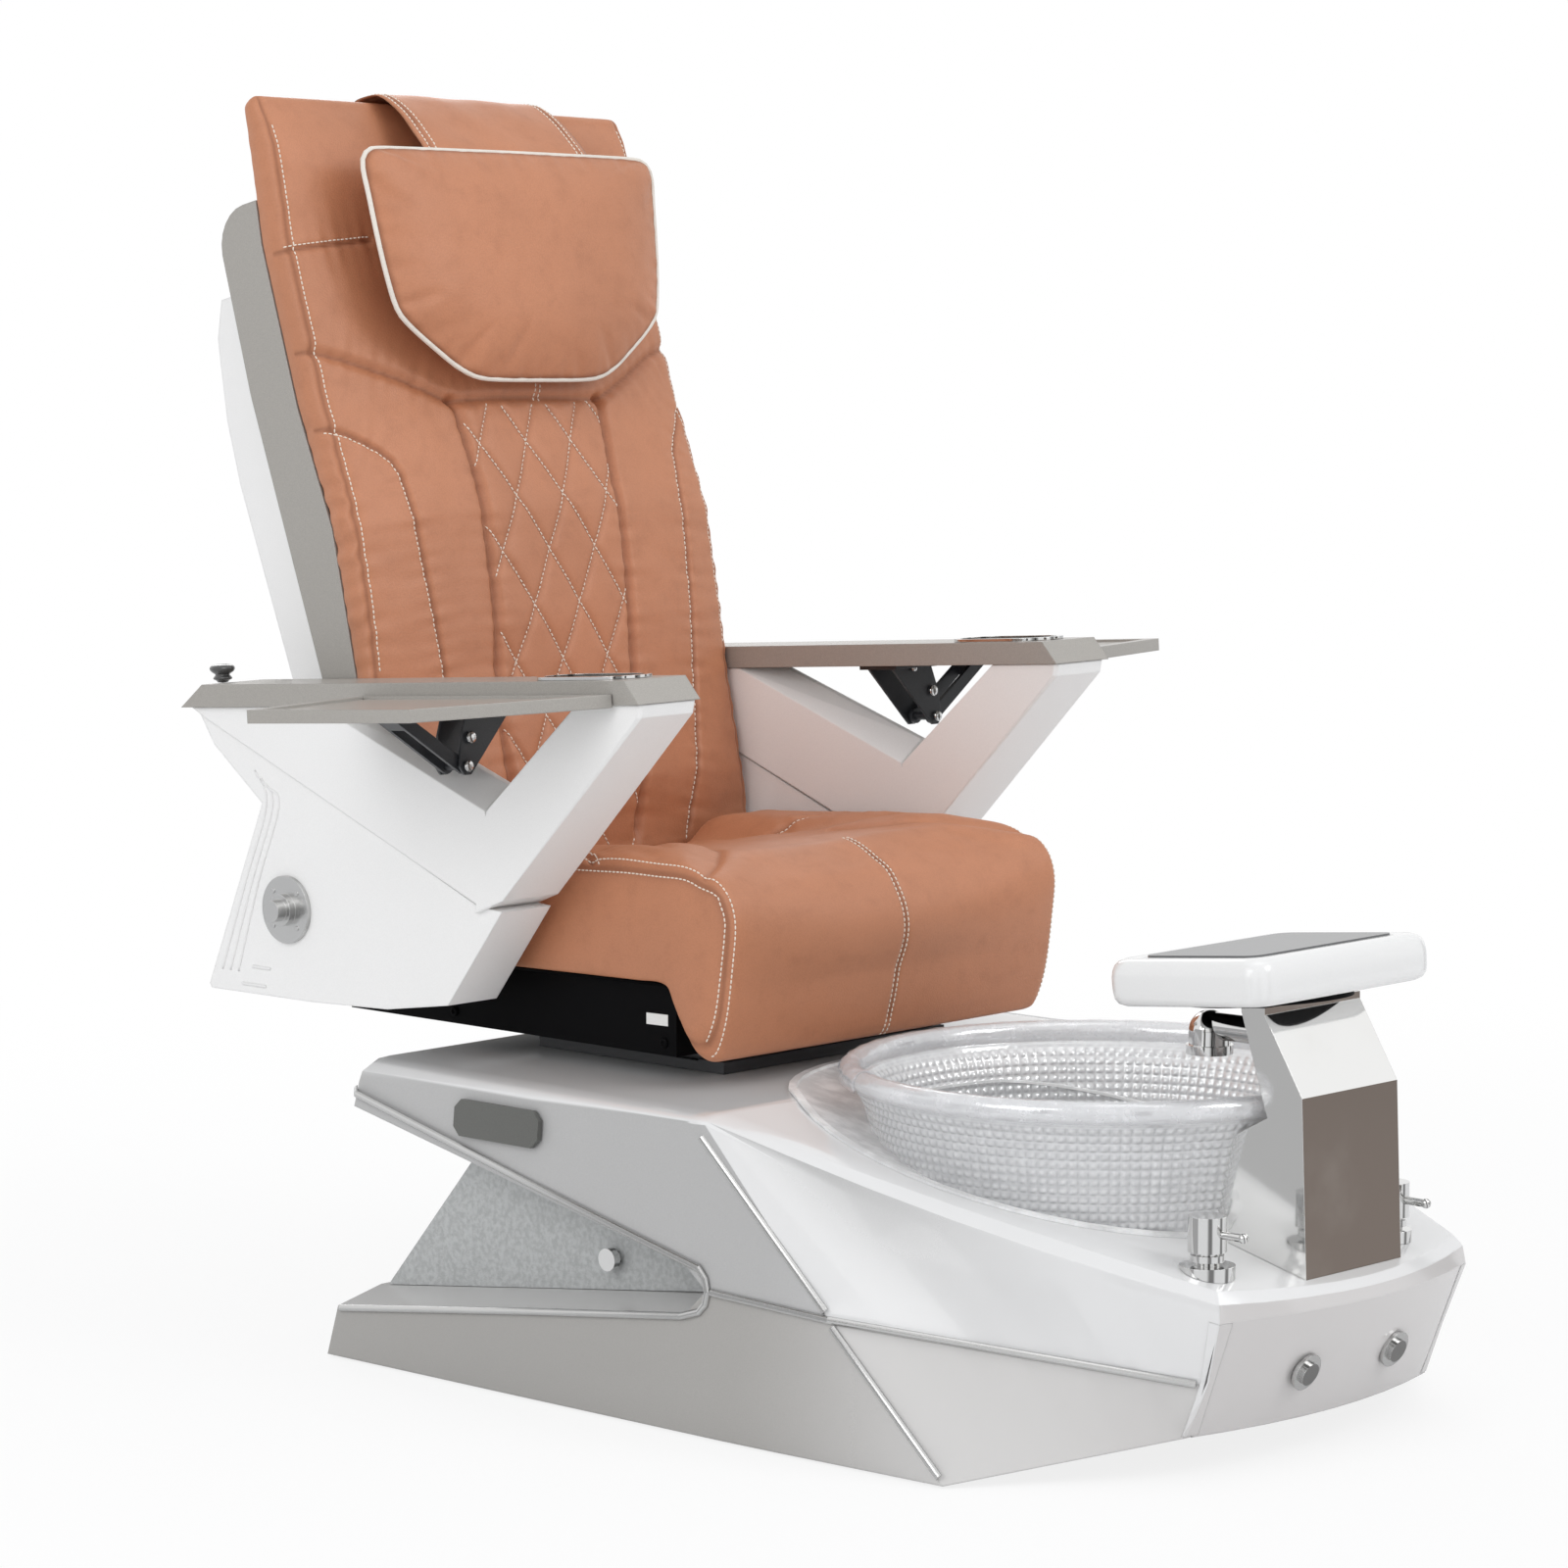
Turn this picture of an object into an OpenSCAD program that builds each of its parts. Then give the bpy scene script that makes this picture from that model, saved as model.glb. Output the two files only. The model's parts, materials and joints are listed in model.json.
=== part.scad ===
// Pedicure spa chair: a reclining massage seat on a glass-fibre base with a glass foot bowl.
// Millimetres. X runs across the chair, the sitter faces -Y, Z is up.
// The origin is on the floor, midway along the flat part of the base.

/* [Base] */
// Width of the base across its straight sides
base_w = 836; // [790:2:880]
// Height of the flat deck under the seat
deck_h = 350; // [335:1:365]
// Distance from the origin back to the deck's rear edge
deck_rear = 545; // [530:1:570]
// Distance from the origin forward to the front corners of the rim
front_reach = 590; // [580:1:610]
// Width across the front corners of the rim
front_w = 436; // [420:2:460]
// How far the front edge bows forward of its corners
front_bow = 40; // [25:1:55]
// Height of the rim's crease at the front corners
front_h = 176; // [168:1:184]
// Clearance under the front edge
toe_h = 45; // [35:1:55]
// Height at which the side lines cross
waist_h = 157; // [150:1:162]
// Thickness of the moulded shells
shell_t = 5; // [4:0.5:7]
// Slope of the deck in front of the seat
deck_slope = 14.3; // [13.5:0.1:15]
// Half-width of the recessed pedestal between the notches
pedestal_half = 350; // [335:1:365]
// Height of the rear overhang's lower edge at its rear end
overhang_h = 299; // [290:1:310]
// Height of the lower ledge at its rear end
ledge_h = 60; // [50:1:75]
// Radius of the half-round trim bead
bead_r = 4.5; // [3:0.5:6]

/* [Bowl] */
// Outer radius of the bowl's rolled rim
bowl_r = 290; // [280:1:292]
// Height of the top of the bowl's rim
bowl_top = 390; // [382:1:396]
// Radius of the rim's roll
roll_r = 12; // [9:0.5:14]
// Thickness of the glass wall
glass_t = 8; // [6:0.5:10]
// Height of the bowl's inner floor
bowl_floor = 183; // [180:1:200]
// Distance from the origin forward to the bowl's centre
bowl_y = 250; // [245:1:255]
// Radius of the well in the deck
well_r = 297; // [290:1:300]
// Distance from the origin forward to the well's centre
well_y = 190; // [185:1:195]
// Radius of the drain fitting's bore
drain_bore_r = 18; // [15:0.5:20]

/* [Column and footrest] */
// Half-width of the column at its foot
column_half = 84; // [76:1:90]
// Height of the break in the column's front face
column_break_h = 396; // [385:1:405]
// Radius of the footrest's swivel disc
disc_r = 93; // [80:1:100]
// Tilt of the footrest, front edge up
footrest_tilt = 5.5; // [3:0.1:9]
// Width of the footrest
footrest_w = 308; // [280:2:330]
// Length of the footrest
footrest_l = 214; // [200:1:230]
// Thickness of the footrest
footrest_t = 52; // [46:1:60]
// Radius of the footrest's swivel pin
swivel_pin_r = 9; // [7:0.5:12]

/* [Valves and buttons] */
// Distance of the right-hand valve from the centre plane
valve_x = 177; // [170:1:182]
// Distance from the origin forward to the right-hand valve
valve_y = 540; // [535:1:545]
// Distance of the left-hand valve from the centre plane, close beside the column
near_valve_x = 126; // [122:1:150]
// Distance from the origin forward to the left-hand valve
near_valve_y = 554; // [545:1:556]
// Radius of a valve handle
handle_r = 21; // [18:0.5:24]
// Height of a valve handle
handle_h = 38; // [30:1:45]
// Distance of each push button from the centre plane
button_x = 78; // [70:1:90]
// Radius of a push button
button_r = 13; // [11:0.5:15]
// Travel of a push button
button_travel = 3.5; // [3:0.1:4]

/* [Seat] */
// Width of the seat cushion
seat_w = 568; // [540:2:580]
// Height of the cushion's front top seam
seat_h = 588; // [580:1:600]
// Distance from the origin back to the cushion's front
seat_front = 44; // [44:1:56]
// Width over the black seat frame
frame_w = 520; // [500:2:530]
// Height of the underside of the seat frame
frame_z = 378; // [377:0.5:380]

/* [Backrest] */
// Lean of the backrest at rest
back_lean = 13; // [11:0.5:15]
// Distance from the origin back to the recline hinge
hinge_y = 600; // [596:1:606]
// Height of the recline hinge
hinge_z = 440; // [436:1:444]
// Width of the leather back pad
back_w = 606; // [590:2:608]
// Height of the pad's top above the recline hinge, along the back
back_l = 1036; // [1010:1:1060]
// How far the pillow strap sits off the centre of the back
strap_shift = 16; // [0:1:20]
// Radius of the recline hinge pin
hinge_pin_r = 8; // [6:0.5:10]

/* [Armrests] */
// Distance of an armrest's inner face from the centre plane
arm_x = 308; // [306:0.5:316]
// Thickness of the white arm shell
arm_t = 88; // [80:1:96]
// Height of the top bar's underside at its front end
arm_h = 792; // [780:1:805]
// Length of the top bar's underside
bar_l = 765; // [745:1:785]
// Thickness of the top bar
bar_t = 27; // [24:1:32]
// Upward tilt of the top bar towards the front
arm_tilt = 3.9; // [3:0.1:5]
// Radius of the arm's pivot shaft
arm_pin_r = 11; // [9:0.5:13]
// Radius of the chrome pivot disc
pivot_disc_r = 40; // [36:1:46]
// How far the tray reaches out beyond the top bar
tray_w = 234; // [210:1:260]
// Thickness of the tray
tray_t = 15; // [12:1:18]

/* [Fits] */
// Running clearance on the radius of a pin or shaft
run_gap = 0.05; // [0.02:0.01:0.09]
// Gap left between pieces that rest against each other
rest_gap = 0.3; // [0.2:0.05:0.5]

/* [Hidden] */

$fn = 48;
eps = 0.01;
RIGHT = -1;
LEFT = 1;

function lerp(a, b, t) = a + (b - a) * t;
function unit(v) = v / norm(v);
function flip(list) = [for (i = [len(list) - 1:-1:0]) list[i]];

// Draws a part made for the +X side on the side asked for.
module on_side(side) {
  if (side == LEFT) children();
  else mirror([1, 0, 0]) children();
}

// Extrudes an outline of [y, z] points from x = x0 to x = x1.
module across(outline, x0, x1) {
  translate([x0, 0, 0]) rotate([90, 0, 90]) linear_extrude(x1 - x0) polygon(outline);
}

module box(low, high) {
  translate(low) cube(high - low);
}

module rod(p, axis, r, h) {
  turn = axis == "x" ? [0, 90, 0] : axis == "y" ? [-90, 0, 0] : [0, 0, 0];
  translate(p) rotate(turn) cylinder(r = r, h = h);
}

// Closed body through a stack of rings. A ring is one edge path followed by the opposite
// edge path run backwards, and both ends close with a ladder of faces between the two.
module ladder_loft(rings) {
  n = len(rings[0]);
  m = len(rings);
  half = n / 2;
  points = [for (ring = rings) each ring];
  walls = [for (j = [0:m - 2], i = [0:n - 1]) let (a = j * n + i, b = j * n + (i + 1) % n)
    each [[a, b, b + n], [a, b + n, a + n]]];
  first = [for (i = [0:half - 2]) let (k = n - 1 - i)
    each [[i, k, k - 1], [i, k - 1, i + 1]]];
  last = [for (f = first) [f[0], f[2], f[1]] + (m - 1) * n * [1, 1, 1]];
  polyhedron(points, concat(walls, first, last), convexity = 6);
}

// ---- Base outline -------------------------------------------------------------------

base_half = base_w / 2;
front_half = front_w / 2;
// The side turns in towards the front along a slanted line: deck, waist and floor ends.
turn_deck_y = -30;
turn_waist_y = -221;
turn_floor_y = -380;
deck_break_y = -20;
tip_h = 162;
shoulder = 45;
side_steps = [0:1 / 6:1.001];
bow_x = [0.97, 0.75, 0.5, 0.25, 0.05];
waist_front = [front_half - 11, -front_reach + 24, waist_h - 53];
toe = [front_half - 6, -front_reach + 49, toe_h];

function deck_z(y) = deck_h - tan(deck_slope) * max(0, deck_break_y - y);
function overhang_z(y) = lerp(tip_h + 24, overhang_h, (y + 10) / (deck_rear - 22 + 10));
function ledge_z(y) = lerp(tip_h - 29, ledge_h, (y + 10) / (deck_rear + 9 + 10));
function bow_y(half, depth, f) = -depth * (1 - f * f);

// Each outline gives its half of the base as [x, y, z] from the rear to the front centre;
// g is how far the outline is drawn in, for the inside of a shell.
function crease(g) = concat(
  [[base_half - 48 - g, deck_rear - g, deck_h - 23 - g],
   [base_half - 8 - g, deck_rear - 22 - g, deck_h - 23 - g],
   [base_half - 8 - g, 240, deck_h - 14 - g],
   [base_half - 8 - g, 0, deck_h - 8 - g],
   [base_half - 8 - g, -15, deck_h - 8 - g]],
  [for (t = side_steps) [
    lerp(base_half - 10, front_half, t) + 8 * sin(180 * t) - g,
    lerp(turn_deck_y, -front_reach, t) + g * t,
    lerp(deck_h - 8, front_h, t + 0.1 * sin(180 * t)) - g]],
  [for (f = bow_x) [f * (front_half - g), -front_reach + g + bow_y(1, front_bow, f), front_h - g]]);

function deck_edge(g) = concat(
  [[base_half - 62 - g, deck_rear - 16 - g, deck_h - g],
   [base_half - 53 - g, deck_rear - 36 - g, deck_h - g],
   [base_half - 53 - g, 240, deck_h - g],
   [base_half - 53 - g, 0, deck_h - g],
   [base_half - 53 - g, -12, deck_h - g]],
  [for (t = side_steps) let (c = crease(g)[5 + round(t * 6)],
      y = c[1] + lerp(4, 30, t)) [c[0] - lerp(shoulder, 24, t), y, deck_z(y) - g]],
  [for (f = bow_x) let (y = -front_reach + 30 + g + bow_y(1, front_bow, f))
    [f * (front_half - 24 - g), y, deck_z(y) - g]]);

function waist(g, lift) = concat(
  [[base_half - 48 - g, deck_rear - g, overhang_h + lift],
   [base_half - g, deck_rear - 22 - g, overhang_h + lift],
   [base_half - g, 240, overhang_z(240) + lift],
   [base_half - g, -10, overhang_z(-10) + lift],
   [base_half - g, -40, tip_h + lift]],
  [for (t = side_steps) [
    lerp(base_half, waist_front[0], t) - g,
    lerp(turn_waist_y, waist_front[1], t) + g * t,
    lerp(waist_h, waist_front[2], t) + lift]],
  [for (f = bow_x) [f * (toe[0] - g), toe[1] + g + bow_y(1, front_bow - 10, f), toe_h + lift]]);

function ledge(g, drop) = concat(
  [[base_half - 48 - g, deck_rear + 16 - g, ledge_h + 4 - drop],
   [base_half - g, deck_rear + 9 - g, ledge_h - drop],
   [base_half - g, 240, ledge_z(240) - drop],
   [base_half - g, -10, ledge_z(-10) - drop],
   [base_half - g, -40, tip_h - rest_gap - drop]],
  [for (t = side_steps) [
    lerp(base_half, waist_front[0], t) - g,
    lerp(turn_waist_y, waist_front[1], t) + g,
    lerp(waist_h, waist_front[2], t) - rest_gap - drop]]);

function ledge_inner(g, drop) = concat(
  [[pedestal_half - 4 - g, deck_rear + 13 - g, ledge_h + 14 - drop],
   [pedestal_half - g, deck_rear + 7 - g, ledge_h + 14 - drop],
   [pedestal_half - g, 240, ledge_z(240) + 13 - drop],
   [pedestal_half - g, -10, ledge_z(-10) + 12 - drop],
   [pedestal_half - g, -44, tip_h - 1 - rest_gap - drop]],
  [for (t = side_steps) let (p = ledge(g, drop)[5 + round(t * 6)])
    [p[0] - lerp(60, 20, t), p[1] + 4, p[2]]]);

function floor_line(g, z) = concat(
  [[base_half - 42 - g, deck_rear + 27 - g, z],
   [base_half + 10 - g, deck_rear + 17 - g, z],
   [base_half + 10 - g, 240, z],
   [base_half + 9 - g, -70, z],
   [base_half + 7 - g, -150, z]],
  [for (t = side_steps) [
    lerp(base_half - 3, toe[0], t) - g,
    lerp(turn_floor_y, toe[1], t) + g,
    t < 0.01 ? z : max(z, lerp(3, toe_h, t) + min(0, z))]]);

function both_halves(half) = concat(half, flip([for (p = half) [-p[0], p[1], p[2]]]));

function blend_edge(g, t) = let (c = crease(g), d = deck_edge(g)) [for (i = [0:len(c) - 1])
  let (k = [c[i][0], c[i][1], d[i][2]]) (1 - t) * (1 - t) * c[i] + 2 * t * (1 - t) * k + t * t * d[i]];

module upper_body(g, lift) {
  ladder_loft([both_halves(waist(g, lift)), both_halves(crease(g)),
    both_halves(blend_edge(g, 0.3)), both_halves(blend_edge(g, 0.62)), both_halves(deck_edge(g))]);
}

module lower_body(g, drop, z) {
  ladder_loft([both_halves(floor_line(g, z)), both_halves(ledge(g, drop)),
    both_halves(ledge_inner(g, drop))]);
}

// Everything below the deck's surface, lowered by gap.
module below_deck(gap) {
  reach = 900;
  across([[deck_break_y, 0], [deck_break_y, deck_h - gap], [deck_break_y - reach, deck_z(deck_break_y - reach) - gap],
    [deck_break_y - reach, -200], [deck_break_y, -200]], -reach, reach);
}

module upper_shell() {
  color("white") difference() {
    upper_body(0, 0);
    upper_body(shell_t, shell_t);
    intersection() {
      upper_body(30, -14);
      box([-pedestal_half + 14, -front_reach + 20, 0], [pedestal_half - 14, rear_head_y - 6, deck_h]);
    }
    rod([0, -well_y, 100], "z", well_r, 400);
    for (side = [RIGHT, LEFT]) {
      rod(valve_at(side, 100), "z", valve_neck_r + rest_gap, 200);
      button_place(side) rod([0, 0, -60], "z", bezel_neck_r + rest_gap, 120);
    }
  }
}

module lower_shell() {
  color("gainsboro") difference() {
    lower_body(0, 0, 3);
    lower_body(shell_t, shell_t, -4);
    intersection() {
      translate([0, 0, 40]) lower_body(18, 0, -50);
      box([-pedestal_half + 14, -front_reach, -10], [pedestal_half - 14, deck_rear - 4, deck_h]);
    }
    translate([0, -rest_gap, 0]) upper_body(0, 0);
  }
}

// Half-round bead: the flat side faces in, against the shell.
bead_lift = 1;

function bead_section(p, along, out) = let (a = unit(along), n = unit(out - (out * a) * a), b = cross(a, n))
  [for (k = [0:7]) p + bead_lift * n + bead_r * (cos(k * 180 / 7) * b + sin(k * 180 / 7) * n)];

module bead(path, outs) {
  last = len(path) - 1;
  rings = [for (i = [0:last]) bead_section(path[i], path[min(i + 1, last)] - path[max(i - 1, 0)], outs[i])];
  ladder_loft(rings);
}

// Beads of one side: round the notch, along the waist, and up and down the diagonal.
module trim() {
  side = [1, 0, 0];
  w = base_half;
  cross_at = [w, turn_waist_y, waist_h];
  tip = [for (a = [60:-30:-60]) [w, -18 - 26 * cos(a), tip_h + 28 * sin(a)]];
  notch = concat(
    [[w - 20, deck_rear - 8, overhang_h + 16], [w, deck_rear - 28, overhang_h + 15], [w, 240, overhang_z(240) + 9],
     [w, -6, overhang_z(-6) + 5]],
    tip, [[w, -4, ledge_z(-4) - 3], [w, 240, ledge_z(240) - 2], [w, deck_rear + 3, ledge_h - 2]]);
  bead(notch, [for (p = notch) p[1] > deck_rear - 20 && p[2] > deck_h / 2 ? unit([1, 0.7, 0]) : side]);
  front = unit([0.85, -0.52, -0.05]);
  bead([[w, -50, tip_h], cross_at, lerp(cross_at, waist_front, 0.5), lerp(cross_at, waist_front, 0.97)],
    [side, unit(side + front), front, front]);
  diagonal = unit([0.95, -0.25, 0]);
  bead([[w - 10, turn_deck_y + 4, deck_h - 22], [w - 1, turn_waist_y + 4, waist_h + 8]], [diagonal, diagonal]);
  bead([[w - 1, turn_waist_y - 5, waist_h - 8], [w - 3, turn_floor_y + 4, 12]], [diagonal, diagonal]);
}

module trim_beads() {
  color("silver") for (side = [RIGHT, LEFT]) on_side(side) trim();
}

// ---- Notch panels and rear panel --------------------------------------------------------

panel_t = 6;
panel_x = pedestal_half - 8;
rear_foot_y = deck_rear + 2;
rear_head_y = 379;
rear_head_z = overhang_z(rear_head_y);
rear_foot_z = ledge_h + 14;
knob_place_y = 165;
knob_place_z = 160;
knob_shaft_r = 5;

function rear_line_y(z) = lerp(rear_foot_y, rear_head_y, (z - rear_foot_z) / (rear_head_z - rear_foot_z));

module notch_panel() {
  outline = [[-34, tip_h - 2], [-10, ledge_z(-10) + 12.5 + rest_gap], [rear_line_y(rear_foot_z) - 4, rear_foot_z + 1.6 + rest_gap],
    [rear_head_y - 3, rear_head_z - rest_gap - 0.4], [-10, overhang_z(-10) - rest_gap]];
  difference() {
    across(outline, panel_x, panel_x + panel_t);
    rod([panel_x - 20, knob_place_y, knob_place_z], "x", knob_shaft_r + run_gap, 60);
  }
}

module notch_knob() {
  rod([panel_x - 12, knob_place_y, knob_place_z], "x", knob_shaft_r, 24 + panel_t);
  rod([panel_x + panel_t + rest_gap, knob_place_y, knob_place_z], "x", 8, 8);
  rod([panel_x + panel_t + 8, knob_place_y, knob_place_z], "x", 13, 9);
  translate([panel_x - 12, knob_place_y - 6, knob_place_z - 4]) cube([3, 24, 8]);
}

module notch_panels() { color("lightgray") for (side = [RIGHT, LEFT]) on_side(side) notch_panel(); }
module notch_knob_right() { color("silver") on_side(RIGHT) notch_knob(); }
module notch_knob_left() { color("silver") on_side(LEFT) notch_knob(); }

stub_x = 60;
stub_z = 112;
stub_r = 10.5;
drain_out_x = 180;
drain_out_z = 112;
drain_pipe_r = drain_bore_r + 3;
inlet_x = -180;

module rear_panel() {
  panel_lift = 1.8;
  face = [[rear_foot_y, rear_foot_z + panel_lift], [rear_head_y, rear_head_z - 1.6],
    [rear_head_y - panel_t, rear_head_z - 1.6], [rear_foot_y - panel_t, rear_foot_z + panel_lift]];
  color("lightgray") difference() {
    across(face, -panel_x + rest_gap, panel_x - rest_gap);
    for (x = [-stub_x, stub_x]) rod([x, 440, stub_z], "y", stub_r + 2, 140);
    rod([drain_out_x, 440, drain_out_z], "y", drain_pipe_r + 1, 140);
    box([inlet_x - 15, 440, stub_z - 12], [inlet_x + 15, 600, stub_z + 12]);
  }
}

// Blank octagonal plates, one on each side of the overhang.
module blank_plates() {
  plate_y = deck_rear - 260;
  wall_lean = 5.3;
  long = 68;
  tall = 21;
  cut = 10;
  corner = [[-long + cut, -tall], [long - cut, -tall], [long, -tall + cut], [long, tall - cut], [long - cut, tall],
    [-long + cut, tall], [-long, tall - cut], [-long, -tall + cut]];
  color("gray") for (side = [RIGHT, LEFT]) on_side(side)
    translate([base_half - 3.3, plate_y, deck_h - 43]) rotate([0, -wall_lean, 0]) rotate([90, 0, 90]) linear_extrude(6) polygon(corner);
}

// ---- Chassis ------------------------------------------------------------------------------

tube = 40;
chassis_x = 270;
foot_h = 20;
cradle_z = bowl_floor - glass_t - rest_gap;

module chassis_frame() {
  top = foot_h + tube;
  post_top = deck_h - shell_t - rest_gap;
  riser_z = 95;
  post_x = 236;
  color("dimgray") {
    for (side = [-1, 1]) {
      box([side * chassis_x - tube / 2, -430, foot_h], [side * chassis_x + tube / 2, 500, top]);
      for (y = [190, 340]) box([side * post_x - 20, y - 20, top], [side * post_x + 20, y + 20, post_top]);
      for (y = [-330, -170]) box([side * 150 - 15, y - 15, top], [side * 150 + 15, y + 15, cradle_z - 6]);
    }
    for (y = [-330, -170, 0, 190, 340, 470])
      box([-chassis_x, y - tube / 2, foot_h], [chassis_x, y + tube / 2, top]);
    difference() {
      rod([0, -bowl_y, cradle_z - 6], "z", 190, 6);
      rod([0, -bowl_y, cradle_z - 7], "z", 60, 8);
    }
    box([-30, -460, foot_h], [30, -330, top]);
    box([-30, -460, foot_h], [30, -430, riser_z + tube]);
    box([-30, -525, riser_z], [30, -430, riser_z + tube]);
    difference() {
      box([-30, -525, riser_z], [30, -486, deck_h]);
      translate([0, 0, -shell_t - 2]) above_deck();
    }
  }
}

// Everything above the deck's surface in front of the seat.
module above_deck() {
  reach = 900;
  across([[deck_break_y, deck_h], [deck_break_y, deck_h + reach], [deck_break_y - reach, deck_h + reach],
    [deck_break_y - reach, deck_z(deck_break_y - reach)]], -reach, reach);
}

module levelling_feet() {
  places = concat([[0, 0, 0]], [for (x = [-chassis_x, chassis_x], y = [-360, 80, 450]) [x, y, 0]]);
  color("black") for (p = places) {
    rod(p, "z", 24, 10);
    rod(p, "z", 6, foot_h - rest_gap);
  }
}

// ---- Bowl -----------------------------------------------------------------------------------

bowl_neck_r = bowl_r - 2 * roll_r;
wall_profile = [[bowl_neck_r, bowl_top - 2 * roll_r], [bowl_neck_r - 14, bowl_top - 48], [bowl_neck_r - 24, bowl_top - 86],
  [bowl_neck_r - 38, bowl_top - 152], [bowl_neck_r - 50, bowl_floor + 14], [bowl_neck_r - 66, bowl_floor - glass_t]];
jet_z = 268;
jet_neck_r = 28;
drain_flange_r = drain_bore_r + 14;

function wall_r(z) = lookup(z, [for (p = wall_profile) [p[1], p[0]]]);

module bowl() {
  inner = [for (p = wall_profile) [p[0] - glass_t, max(p[1], bowl_floor)]];
  color("aliceblue", 0.5) difference() {
    translate([0, -bowl_y, 0]) {
      rotate_extrude($fn = 96) polygon(concat([[0, bowl_floor - glass_t]], flip(wall_profile),
        inner, [[0, bowl_floor]]));
      rotate_extrude($fn = 96) translate([bowl_r - roll_r, bowl_top - roll_r]) circle(r = roll_r);
      rotate_extrude($fn = 96) translate([bowl_neck_r - glass_t, bowl_top - 2 * roll_r - 1]) square([roll_r + glass_t, roll_r]);
    }
    rod([0, -bowl_y, bowl_floor - 30], "z", drain_bore_r + 5, 60);
    rod([0, -bowl_y - bowl_r, jet_z], "y", jet_neck_r + rest_gap, 100);
  }
}

collar_lip = 8;
collar_t = 3;

// Height just clear of the deck, eased over the break in its slope.
function over_deck(y) = deck_z(y) + rest_gap + 3 * max(0, 1 - abs(y - deck_break_y) / 40);

// Clear collar that closes the well round the bowl.
module bowl_collar() {
  steps = 48;
  cone = [for (k = [0:steps - 1]) let (a = 360 * k / steps, c = cos(a), s = sin(a),
      lip_y = -well_y + (well_r + collar_lip) * s, in_z = deck_z(-bowl_y + 250 * s) - 24,
      edge_y = -well_y + (well_r - 1) * s, in_r = wall_r(in_z) + 2)
    [[(well_r + collar_lip) * c, lip_y, over_deck(lip_y)],
     [(well_r - 1) * c, edge_y, over_deck(edge_y)],
     [(well_r - 2) * c, -well_y + (well_r - 2) * s, deck_z(-well_y + well_r * s) - 3],
     [in_r * c, -bowl_y + in_r * s, in_z]]];
  raise = [0, 0, collar_t];
  rings = [for (c = cone) concat(c, [c[3] + raise, c[2] + raise, c[1] + raise, c[0] + raise])];
  n = 8;
  points = [for (ring = rings) each ring];
  faces = [for (k = [0:steps - 1], i = [0:n - 1]) let (a = k * n + i, b = k * n + (i + 1) % n,
      c = ((k + 1) % steps) * n + i, d = ((k + 1) % steps) * n + (i + 1) % n)
    each [[a, c, d], [a, d, b]]];
  color("azure", 0.6) polyhedron(points, faces, convexity = 8);
}

module drain_fitting() {
  turn_y = 60;
  top_z = bowl_floor + 3;
  centre = [0, -bowl_y, drain_out_z];
  elbow = [drain_out_x, turn_y, drain_out_z];
  color("silver") difference() {
    union() {
      difference() {
        union() {
          rod([0, -bowl_y, bowl_floor + rest_gap], "z", drain_flange_r, 3);
          rod(centre, "z", drain_pipe_r, top_z - drain_out_z);
          translate(centre) sphere(r = drain_pipe_r + 2);
          rod(centre, "y", drain_pipe_r, bowl_y + turn_y);
          rod([-drain_pipe_r, turn_y, drain_out_z], "x", drain_pipe_r, drain_out_x + 2 * drain_pipe_r);
          rod(elbow - [0, drain_pipe_r, 0], "y", drain_pipe_r, rear_foot_y - 30 + drain_pipe_r);
        }
        rod(centre, "z", drain_bore_r, 200);
        rod(centre, "y", drain_bore_r, bowl_y + turn_y);
        rod([-drain_bore_r, turn_y, drain_out_z], "x", drain_bore_r, drain_out_x + 2 * drain_bore_r);
        rod(elbow, "y", drain_bore_r, rear_foot_y);
      }
      box([-drain_bore_r - 1, -bowl_y - 4, bowl_floor - 22], [drain_bore_r + 1, -bowl_y + 4, bowl_floor - 16]);
    }
    rod([0, -bowl_y, bowl_floor - 40], "z", stopper_stem_r + run_gap, 60);
  }
}

stopper_stem_r = 4;

module drain_stopper() {
  color("silver") {
    rod([0, -bowl_y, bowl_floor - 2], "z", drain_bore_r - 1, 7);
    rod([0, -bowl_y, bowl_floor - 40], "z", stopper_stem_r, 40);
  }
}

// ---- Jet ----------------------------------------------------------------------------------

jet_cup_r = 42;
jet_in_y = -bowl_y - wall_r(jet_z) + glass_t + 22;

module jet_housing() {
  cup_back = jet_in_y - 9;
  color("silver") difference() {
    union() {
      rod([0, cup_back, jet_z], "y", jet_cup_r, 14);
      rod([0, cup_back - 32, jet_z], "y", jet_neck_r, 33);
      rod([0, cup_back - 84, jet_z], "y", 34, 54);
    }
    rod([0, cup_back + 3, jet_z], "y", jet_cup_r - 6, 20);
    rod([0, cup_back - 30, jet_z], "y", 4 + run_gap, 40);
  }
}

module jet_impeller() {
  cup_back = jet_in_y - 9;
  color("white") {
    rod([0, cup_back - 20, jet_z], "y", 4, 30);
    rod([0, cup_back + 4, jet_z], "y", 10, 8);
    for (k = [0:5]) translate([0, cup_back + 4.5, jet_z]) rotate([0, 60 * k, 0]) translate([8, 0, -1.5]) cube([24, 7, 3]);
  }
}

// ---- Water and power ---------------------------------------------------------------------------

module water_manifold() {
  color("goldenrod") {
    box([-stub_x - 22, 440, stub_z - 16], [stub_x + 22, 470, stub_z + 16]);
    for (x = [-stub_x, stub_x]) rod([x, 469, stub_z], "y", stub_r, 78);
    for (x = [-stub_x, stub_x]) box([x - 12, 442, foot_h + tube], [x + 12, 468, stub_z - 15]);
  }
}

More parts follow.
